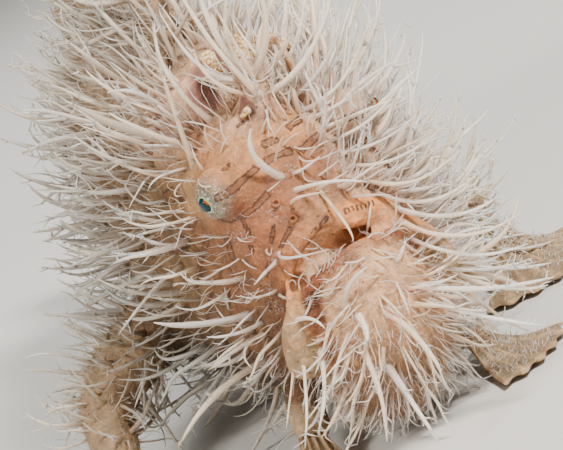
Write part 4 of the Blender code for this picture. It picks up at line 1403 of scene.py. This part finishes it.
def strewRoots(rng, wanted, spacing):
    # roots on the skin: triangles drawn by area times the wanted density, then thinned to the spacing
    weight = triAreas * wanted
    count = int(weight.sum())
    chosen = rng.choice(len(skinTris), count, p=weight / weight.sum())
    a, b = rng.uniform(size=(2, count))
    flip = a + b > 1
    a, b = (np.where(flip, 1 - share, share)[:, None] for share in (a, b))
    corners = skinFrame[skinTris[chosen]]
    places = corners[:, 0] + (corners[:, 1] - corners[:, 0]) * a + (corners[:, 2] - corners[:, 0]) * b
    tree = KDTree(count)
    for i, place in enumerate(places):
        tree.insert(place, i)
    tree.balance()
    kept, room = np.ones(count, bool), spacing[chosen]
    for i in range(count):
        if kept[i]:
            for _, k, _ in tree.find_range(places[i], room[i]):
                if k > i:
                    kept[k] = False
    return places[kept], triWay[chosen][kept]


def tuftColours(rng, roots):
    # root colour, tip colour and dust of each tuft
    count, (x, y, _) = len(roots), roots.T
    rootColour = skinColour(roots)
    marked = segmentDistance(roots, segments) < 0
    rootColour = np.where(marked[:, None], rootColour * coat["onMark"], rootColour)
    milk, pale = tones(coat["milk"]), tones(coat["shadedCool"])
    drawn = rng.integers(0, len(milk), count)
    # painted shade: behind the face on the right flank the tips are drawn towards the greyer, cooler copies
    shadedCool = smoothStep(10, 22, y + rng.normal(0, 4, count)) * smoothStep(4, -4, x)
    tip = milk[drawn] + (pale[drawn] - milk[drawn]) * shadedCool[:, None]
    tip = tip * rng.uniform(0.8, 1.05, (count, 1))
    warm = smoothStep(20, 5, y) * smoothStep(3, -3, x) * 0.12
    tip = tip + (rootColour - tip) * (warm + rng.uniform(0.05, 0.3, count))[:, None]
    dust = np.where(rng.uniform(size=count) < coat["dusty"], rng.uniform(0.4, 1.0, count), 0)
    return {"rootColour": rootColour, "tipColour": tip, "dust": dust}


def stepped(start, step, *totals):
    # control points of cubic curves, from the sums of their steps
    return np.stack([start, *(start + total * step for total in totals)], axis=1)


def layTufts(rng, places, ways, length, radius, lean, curl, rule):
    # Curves that leave the skin between its own way out and the way from the face outwards and back, and
    # float upwards towards the tip.
    bend, leaning = rule["bend"], lean[:, None]
    lift = (rng.uniform(-0.25, 1.0, len(places)) * rule["lift"])[:, None] * (0, 0, 1.0)
    roots = fromFrameMm(places)
    away = roots - np.array(fish["gaze"])
    along = unit(away - ways * np.sum(away * ways, axis=-1, keepdims=True) + rng.normal(0, 4.5, away.shape))
    along = unit(along - ways * np.sum(along * ways, axis=-1, keepdims=True))
    jitter = rng.normal(0, 0.17, ways.shape)
    first = unit(ways + along * leaning * 0.45 + jitter)
    second = unit(ways * 0.75 + along * leaning + jitter + rng.normal(0, bend, ways.shape) + lift * 0.3)
    third = unit(ways * 0.45 + along * leaning + jitter + rng.normal(0, bend * 1.7, ways.shape) + lift * 1.6)
    controls = stepped(places - ways * coat["sunk"], (length / 3)[:, None],
                       first, first + second, first + second + third)
    return {"controls": controls, "radius": radius, "curl": curl, "roots": roots,
            "atlas": skinUnwrap(roots, ways), **tuftColours(rng, roots)}


def pick(tufts, chosen):
    return {key: value[chosen] for key, value in tufts.items()}


def sprouts(rng, tufts, chosen, low, high):
    # parents, how far along them side filaments leave, their starts, the way there and a way aside
    parent = pick(tufts, chosen)
    at, c = rng.uniform(low, high, len(chosen)), parent["controls"]
    ahead = unit(3 * ((1 - at) ** 2)[:, None] * (c[:, 1] - c[:, 0]) + 6 * (at * (1 - at))[:, None]
                 * (c[:, 2] - c[:, 1]) + 3 * (at ** 2)[:, None] * (c[:, 3] - c[:, 2]))
    start = np.einsum("nk,nkd->nd", curveWeights(at), c)
    return parent, at, start, ahead, unit(np.cross(ahead, rng.normal(size=ahead.shape)))


def branchesOf(rng, tufts, chosen):
    # side branches: each leaves its parent part of the way along and bends away from it
    parent, at, start, ahead, aside = sprouts(rng, tufts, chosen, 0.35, 0.65)
    whole = np.linalg.norm(parent["controls"][:, 3] - parent["controls"][:, 0], axis=1)
    step = (whole * rng.uniform(0.28, 0.5, len(at)) / 3)[:, None]
    first, second, third = (unit(ahead + aside * share) for share in (0.8, 0.6, 0.2))
    return {**parent, "controls": stepped(start, step, first, first + second, first + second + third),
            "radius": parent["radius"] * (1 - tuftShape["taper"] * at) * 0.7,
            "rootColour": parent["tipColour"], "curl": parent["curl"] * 0.6}


def twigsOf(rng, tufts, each):
    # short twigs: so many to each filament, standing off it at a wide angle from a third of its length on
    every = np.repeat(np.arange(len(tufts["radius"])), each)
    parent, at, start, ahead, aside = sprouts(rng, tufts, every, 0.3, 0.97)
    step = rng.uniform(0.25, 0.75, (len(at), 1))
    first = unit(aside + ahead * 0.6)
    second = unit(first + rng.normal(0, 0.45, ahead.shape) + (0, 0, 0.25))
    return {**parent, "controls": stepped(start, step, first, first + second, first + 2 * second),
            "radius": np.clip(parent["radius"] * 0.34, 0.05, 0.13), "rootColour": parent["tipColour"],
            "curl": np.full(len(at), 0.03)}


def strewKind(number, kind):
    # One kind of filament over the whole skin. Its length and density change by zone: none on lips, eyes,
    # mouth and pit, few on the bare middle of the face, short on fins, belly and feet, and thickest on
    # the chin and round the left cheek.
    rng = np.random.default_rng(coat["seed"] + number)
    rule, zones = coat[kind], zonesOf(triMiddle)
    _, y, z = triMiddle.T
    density = np.full(len(triMiddle), rule["density"]) * (1 - rule["bare"] * zones["bare"])
    for zone, times in coat["denser"].items():
        density = np.where(zones[zone], density * times[number], density)
    density[zones["blocked"]] = 0
    density *= np.where(z < 1.2, 0.1, 1)
    room = np.where(zones["paw"], min(rule["room"], 0.8), rule["room"])
    room = np.where(zones["leftCheek"] | zones["brow"] | zones["arm"] | zones["jaw"], room * 0.65, room)
    room = np.where(zones["leftCheek"] & (y < 15), room * 0.8, room)
    places, ways = strewRoots(rng, density * coat["fullness"], room)
    roots = fromFrameMm(places)
    (x, y, z), zones, count = roots.T, zonesOf(roots), len(roots)
    length = rng.uniform(*rule["length"], count)
    length *= 0.72 + 0.28 * smoothStep(4, 20, y) - 0.35 * smoothStep(62, 100, y)
    length = np.where(zones["jaw"], length * (1 - 0.35 * smoothStep(17, 25, z)), length)
    length *= 1 + 0.65 * smoothStep(5, 12, x) * smoothStep(48, 30, y) * smoothStep(10, 18, z)
    length = np.where(z < 7, np.minimum(length, 2.2 + 0.6 * z), length)
    for zone, share in coat["shorter"].items():
        length = np.where(zones[zone], length * share, length)
    radius = rng.uniform(*rule["radius"], count)
    radius *= np.clip(length / np.mean(rule["length"]), 0.45, 1.1)
    lean = rng.uniform(*rule["lean"], count) + 0.35 * smoothStep(50, 90, y)
    lean = np.where(zones["fin"] | zones["paw"], 0.95, lean)
    lean = np.where(zones["jaw"], lean + 0.8, lean)
    curl = rng.uniform(0.3, 1.4, count) * rule["curl"]
    return layTufts(rng, places, ways, length, radius, lean, curl, rule), rng


def byZone(roots):
    # which coat piece a root belongs to
    x, y, z = roots.T
    wide, names = np.abs(x), np.full(len(roots), "coat_flank_left", dtype="<U24")
    for name, here in (
        ("coat_flank_right", x < 0), ("coat_back", (z > 46) & (y > 12)), ("coat_tail", y > 66),
        ("coat_fins", zonesOf(roots)["fin"]), ("coat_face_left", (y <= 16) & (x >= 0)),
        ("coat_face_right", (y <= 16) & (x < 0)), ("coat_chin", (jawShare(roots) < 1.2) & (y < 12)),
        ("coat_arms", (wide > 18) & (z < 32) & (y > 26) & (y < 60)), ("coat_feet", (z < 6.5) & (wide > 9)),
        ("coat_hands", (z < 6.5) & (wide > 22)),
    ):
        names[here] = name
    return names


strewn = [strewKind(number, kind) for number, kind in enumerate(("stout", "middling", "fine"))]
stoutTufts, rng = strewn[0]
thick = stoutTufts["radius"] > coat["forkRadius"]
forked = np.flatnonzero(thick & (rng.uniform(size=len(thick)) < coat["forked"]))
branchTufts = branchesOf(rng, stoutTufts, forked)
kinds = [(tufts, *coat[kind]["grid"]) for (tufts, _), kind in zip(strewn, ("stout", "middling", "fine"))]
kinds += [(branchTufts, *coat["branchGrid"]), (twigsOf(rng, stoutTufts, coat["twigs"]), *coat["twigGrid"])]
zoneNames = [byZone(tufts["roots"]) for tufts, _, _ in kinds]
print("tufts", [len(names) for names in zoneNames])


# Pixels of the root, bend and tip of the filaments that stand out, and their width at the root
heroLines = (
    (282, 177, 255, 157, 250, 129, 8), (293, 173, 306, 167, 320, 156, 4), (275, 163, 278, 148, 283, 136, 3),
    (266, 192, 273, 187, 280, 181, 2), (295, 190, 329, 182, 367, 182, 5), (292, 204, 300, 197, 329, 192, 4),
    (320, 190, 344, 222, 353, 241, 4), (367, 234, 369, 218, 371, 202, 3), (396, 229, 396, 210, 396, 191, 3),
    (352, 196, 372, 195, 392, 195, 3), (279, 252, 288, 258, 329, 249, 4), (293, 248, 318, 247, 297, 235, 1.5),
    (281, 270, 291, 275, 302, 278, 1.5), (277, 261, 265, 273, 254, 285, 5), (277, 294, 283, 297, 291, 299, 4),
    (345, 306, 350, 284, 368, 267, 7), (213, 185, 202, 186, 198, 179, 2), (196, 181, 179, 180, 163, 177, 2),
    (184, 173, 173, 173, 162, 173, 2), (170, 228, 150, 232, 130, 237, 4), (169, 232, 188, 243, 220, 234, 2),
    (170, 242, 186, 252, 208, 251, 2), (215, 243, 222, 246, 232, 237, 2), (235, 237, 242, 241, 253, 241, 2),
    (196, 257, 209, 262, 223, 264, 2), (239, 259, 226, 267, 212, 271, 2), (239, 259, 248, 265, 257, 269, 2),
    (180, 293, 140, 293, 98, 280, 7), (125, 307, 80, 314, 39, 314, 8), (250, 316, 200, 324, 154, 322, 9),
    (228, 312, 227, 300, 225, 287, 4), (262, 323, 236, 334, 207, 337, 5), (200, 300, 174, 300, 146, 296, 4),
    (114, 262, 80, 275, 54, 264, 5), (105, 257, 82, 248, 61, 236, 5), (200, 334, 180, 338, 160, 341, 2),
    (193, 352, 175, 366, 154, 370, 6), (157, 348, 130, 364, 100, 374, 5), (268, 361, 214, 396, 177, 448, 9),
    (264, 334, 245, 350, 252, 368, 4), (246, 339, 224, 356, 198, 368, 3), (296, 321, 312, 319, 325, 328, 5),
    (359, 317, 366, 330, 367, 344, 8), (417, 286, 486, 288, 554, 277, 7), (469, 252, 512, 250, 555, 240, 6),
    (465, 262, 512, 268, 552, 262, 5), (460, 275, 505, 288, 548, 285, 6), (430, 300, 488, 317, 545, 325, 6),
    (388, 312, 418, 338, 442, 371, 8), (388, 368, 410, 398, 437, 440, 8), (361, 348, 379, 390, 388, 441, 7),
    (321, 350, 324, 393, 318, 433, 6), (303, 366, 306, 408, 305, 449, 4), (347, 382, 338, 410, 322, 438, 6),
    (291, 371, 290, 400, 286, 429, 3), (192, 167, 170, 96, 152, 27, 6), (210, 120, 168, 75, 154, 23, 6),
    (174, 139, 125, 128, 75, 105, 13), (351, 136, 388, 97, 420, 66, 7), (351, 71, 362, 42, 377, 18, 5),
    (262, 96, 214, 44, 172, -20, 7), (248, 80, 214, 30, 196, -22, 8), (240, 70, 226, 30, 232, -25, 6),
    (252, 76, 266, 30, 250, -28, 9), (262, 78, 262, 30, 284, -25, 8), (276, 72, 298, 36, 306, -22, 7),
    (272, 92, 310, 52, 334, -16, 8), (283, 100, 326, 60, 350, -14, 6), (236, 84, 196, 62, 160, 12, 5),
    (258, 88, 238, 48, 210, 2, 5), (290, 96, 300, 60, 322, 22, 5), (302, 108, 340, 84, 362, 40, 5),
    (313, 116, 346, 100, 384, 70, 5), (322, 128, 362, 112, 404, 96, 5), (330, 140, 370, 120, 398, 88, 4),
    (340, 152, 386, 138, 424, 106, 4), (352, 164, 398, 158, 440, 128, 4), (330, 122, 352, 92, 392, 62, 6),
    (362, 176, 410, 182, 462, 150, 5), (376, 190, 430, 200, 484, 168, 5), (202, 170, 197, 161, 190, 143, 3),
    (236, 165, 235, 156, 238, 146, 1.6), (218, 155, 224, 143, 231, 135, 2), (261, 133, 264, 125, 268, 115, 3),
    (294, 145, 303, 149, 318, 146, 2.6), (299, 154, 312, 161, 344, 148, 2.6),
    (304, 166, 305, 179, 318, 181, 2), (318, 176, 329, 168, 339, 160, 2.6), (339, 187, 358, 177, 388, 155, 4),
    (356, 137, 366, 132, 367, 150, 2), (324, 138, 334, 130, 346, 127, 2), (329, 178, 328, 161, 334, 148, 2.2),
    (385, 184, 396, 178, 397, 191, 2.2), (399, 190, 407, 203, 417, 213, 3), (404, 190, 419, 191, 430, 174, 3),
    (246, 139, 244, 130, 248, 121, 2), (274, 138, 280, 128, 290, 120, 2.6),
    (283, 146, 290, 138, 303, 131, 2.4), (228, 146, 222, 132, 221, 118, 2.4),
    (212, 150, 206, 138, 205, 124, 3), (310, 156, 318, 146, 332, 140, 2.2), (316, 190, 330, 182, 350, 170, 3),
    (392, 204, 450, 216, 498, 196, 6), (402, 220, 460, 236, 520, 214, 6), (412, 240, 470, 254, 528, 244, 5),
    (424, 262, 480, 270, 532, 258, 5),
    # short tendrils on the rim of the lower lip
    (300, 292, 299, 281, 305, 272, 2), (303, 288, 309, 282, 306, 274, 1.6), (309, 282, 308, 272, 314, 266, 2),
    (313, 279, 319, 272, 322, 268, 1.6), (318, 275, 317, 266, 313, 258, 2.4),
    (321, 273, 325, 264, 322, 254, 2), (325, 270, 329, 262, 328, 252, 2), (328, 268, 334, 261, 336, 253, 1.6),
    (333, 263, 332, 256, 338, 250, 1.6), (338, 258, 340, 250, 346, 244, 1.6),
    (356, 240, 362, 232, 371, 236, 2), (366, 238, 376, 233, 386, 235, 1.8),
    (380, 236, 384, 228, 380, 222, 1.8), (388, 234, 394, 227, 391, 220, 1.8),
    (394, 232, 402, 228, 410, 232, 1.8), (287, 285, 293, 280, 296, 286, 1.5),
    (309, 262, 316, 265, 321, 266, 1.2), (330, 292, 338, 280, 352, 270, 2),
)
heroShape = {
    "curl": 0.006, "rise": 0.8, "mostRise": 9.0, "middle": 0.62, "clear": 0.8, "sunk": 0.4,
    "twigs": 5, "twigRadius": 0.24,
}


def heroTufts():
    # Each curve passes over its three pixels. Its depth starts at the skin and comes forward by the share
    # of its length by which the skin there faces the camera.
    rng = np.random.default_rng(coat["seed"] + 2)
    back = np.array(cameraAxes()[2])
    controls, radius, roots, ways = [], [], [], []
    for *numbers, width in heroLines:
        first, middle, last = zip(numbers[::2], numbers[1::2])
        place, normal = rayHit(skinTree, *first)
        start = np.array(pixelRay(*first)[0])
        depth = (start - place) @ back
        drawn = np.hypot(last[0] - first[0], last[1] - first[1]) / camera["pixelsPerMm"]
        rise = np.clip(normal @ back, 0.0, 0.75) * min(drawn, heroShape["mostRise"]) * heroShape["rise"]
        spots = [place - normal * heroShape["sunk"]]
        for pixel, share in ((middle, heroShape["middle"]), (last, 1.0)):
            way, met = np.array(pixelRay(*pixel)[1]), skinPixel(*pixel)
            wanted = depth - rise * share
            if met is not None:
                wanted = min(wanted, (start - np.array(met)) @ back - heroShape["clear"])
            spots.append(start + way * (wanted / -(way @ back)))
        root, over, tip = spots
        bend = 2 * over - (root + tip) / 2
        controls.append([root, root + (bend - root) * 2 / 3, tip + (bend - tip) * 2 / 3, tip])
        radius.append(width / 2 / camera["pixelsPerMm"])
        roots.append(fromFrameMm(place))
        ways.append(normal)
    roots = np.array(roots)
    colours = tuftColours(rng, roots)
    colours["rootColour"] = (colours["rootColour"] + colours["tipColour"]) / 2
    return {"controls": np.array(controls), "radius": np.array(radius), "roots": roots, **colours,
            "curl": np.full(len(roots), heroShape["curl"]), "atlas": skinUnwrap(roots, np.array(ways))}


heroes = heroTufts()
offFace = (heroes["roots"][:, 1] > 10) | (heroes["roots"][:, 2] < 22)
twigged = pick(heroes, np.flatnonzero((heroes["radius"] > heroShape["twigRadius"]) & offFace))
heroTwigs = twigsOf(rng, twigged, heroShape["twigs"])
addCoat("coat_standing", [filamentTubes(heroes, 22, 10, 90), filamentTubes(heroTwigs, 7, 5, 91)])
for index, name in enumerate(sorted(set(np.concatenate(zoneNames)))):
    addCoat(name, [filamentTubes(pick(tufts, names == name), rings, sides, 100 + 10 * index + kind)
                   for kind, ((tufts, rings, sides), names) in enumerate(zip(kinds, zoneNames))
                   if (names == name).any()])
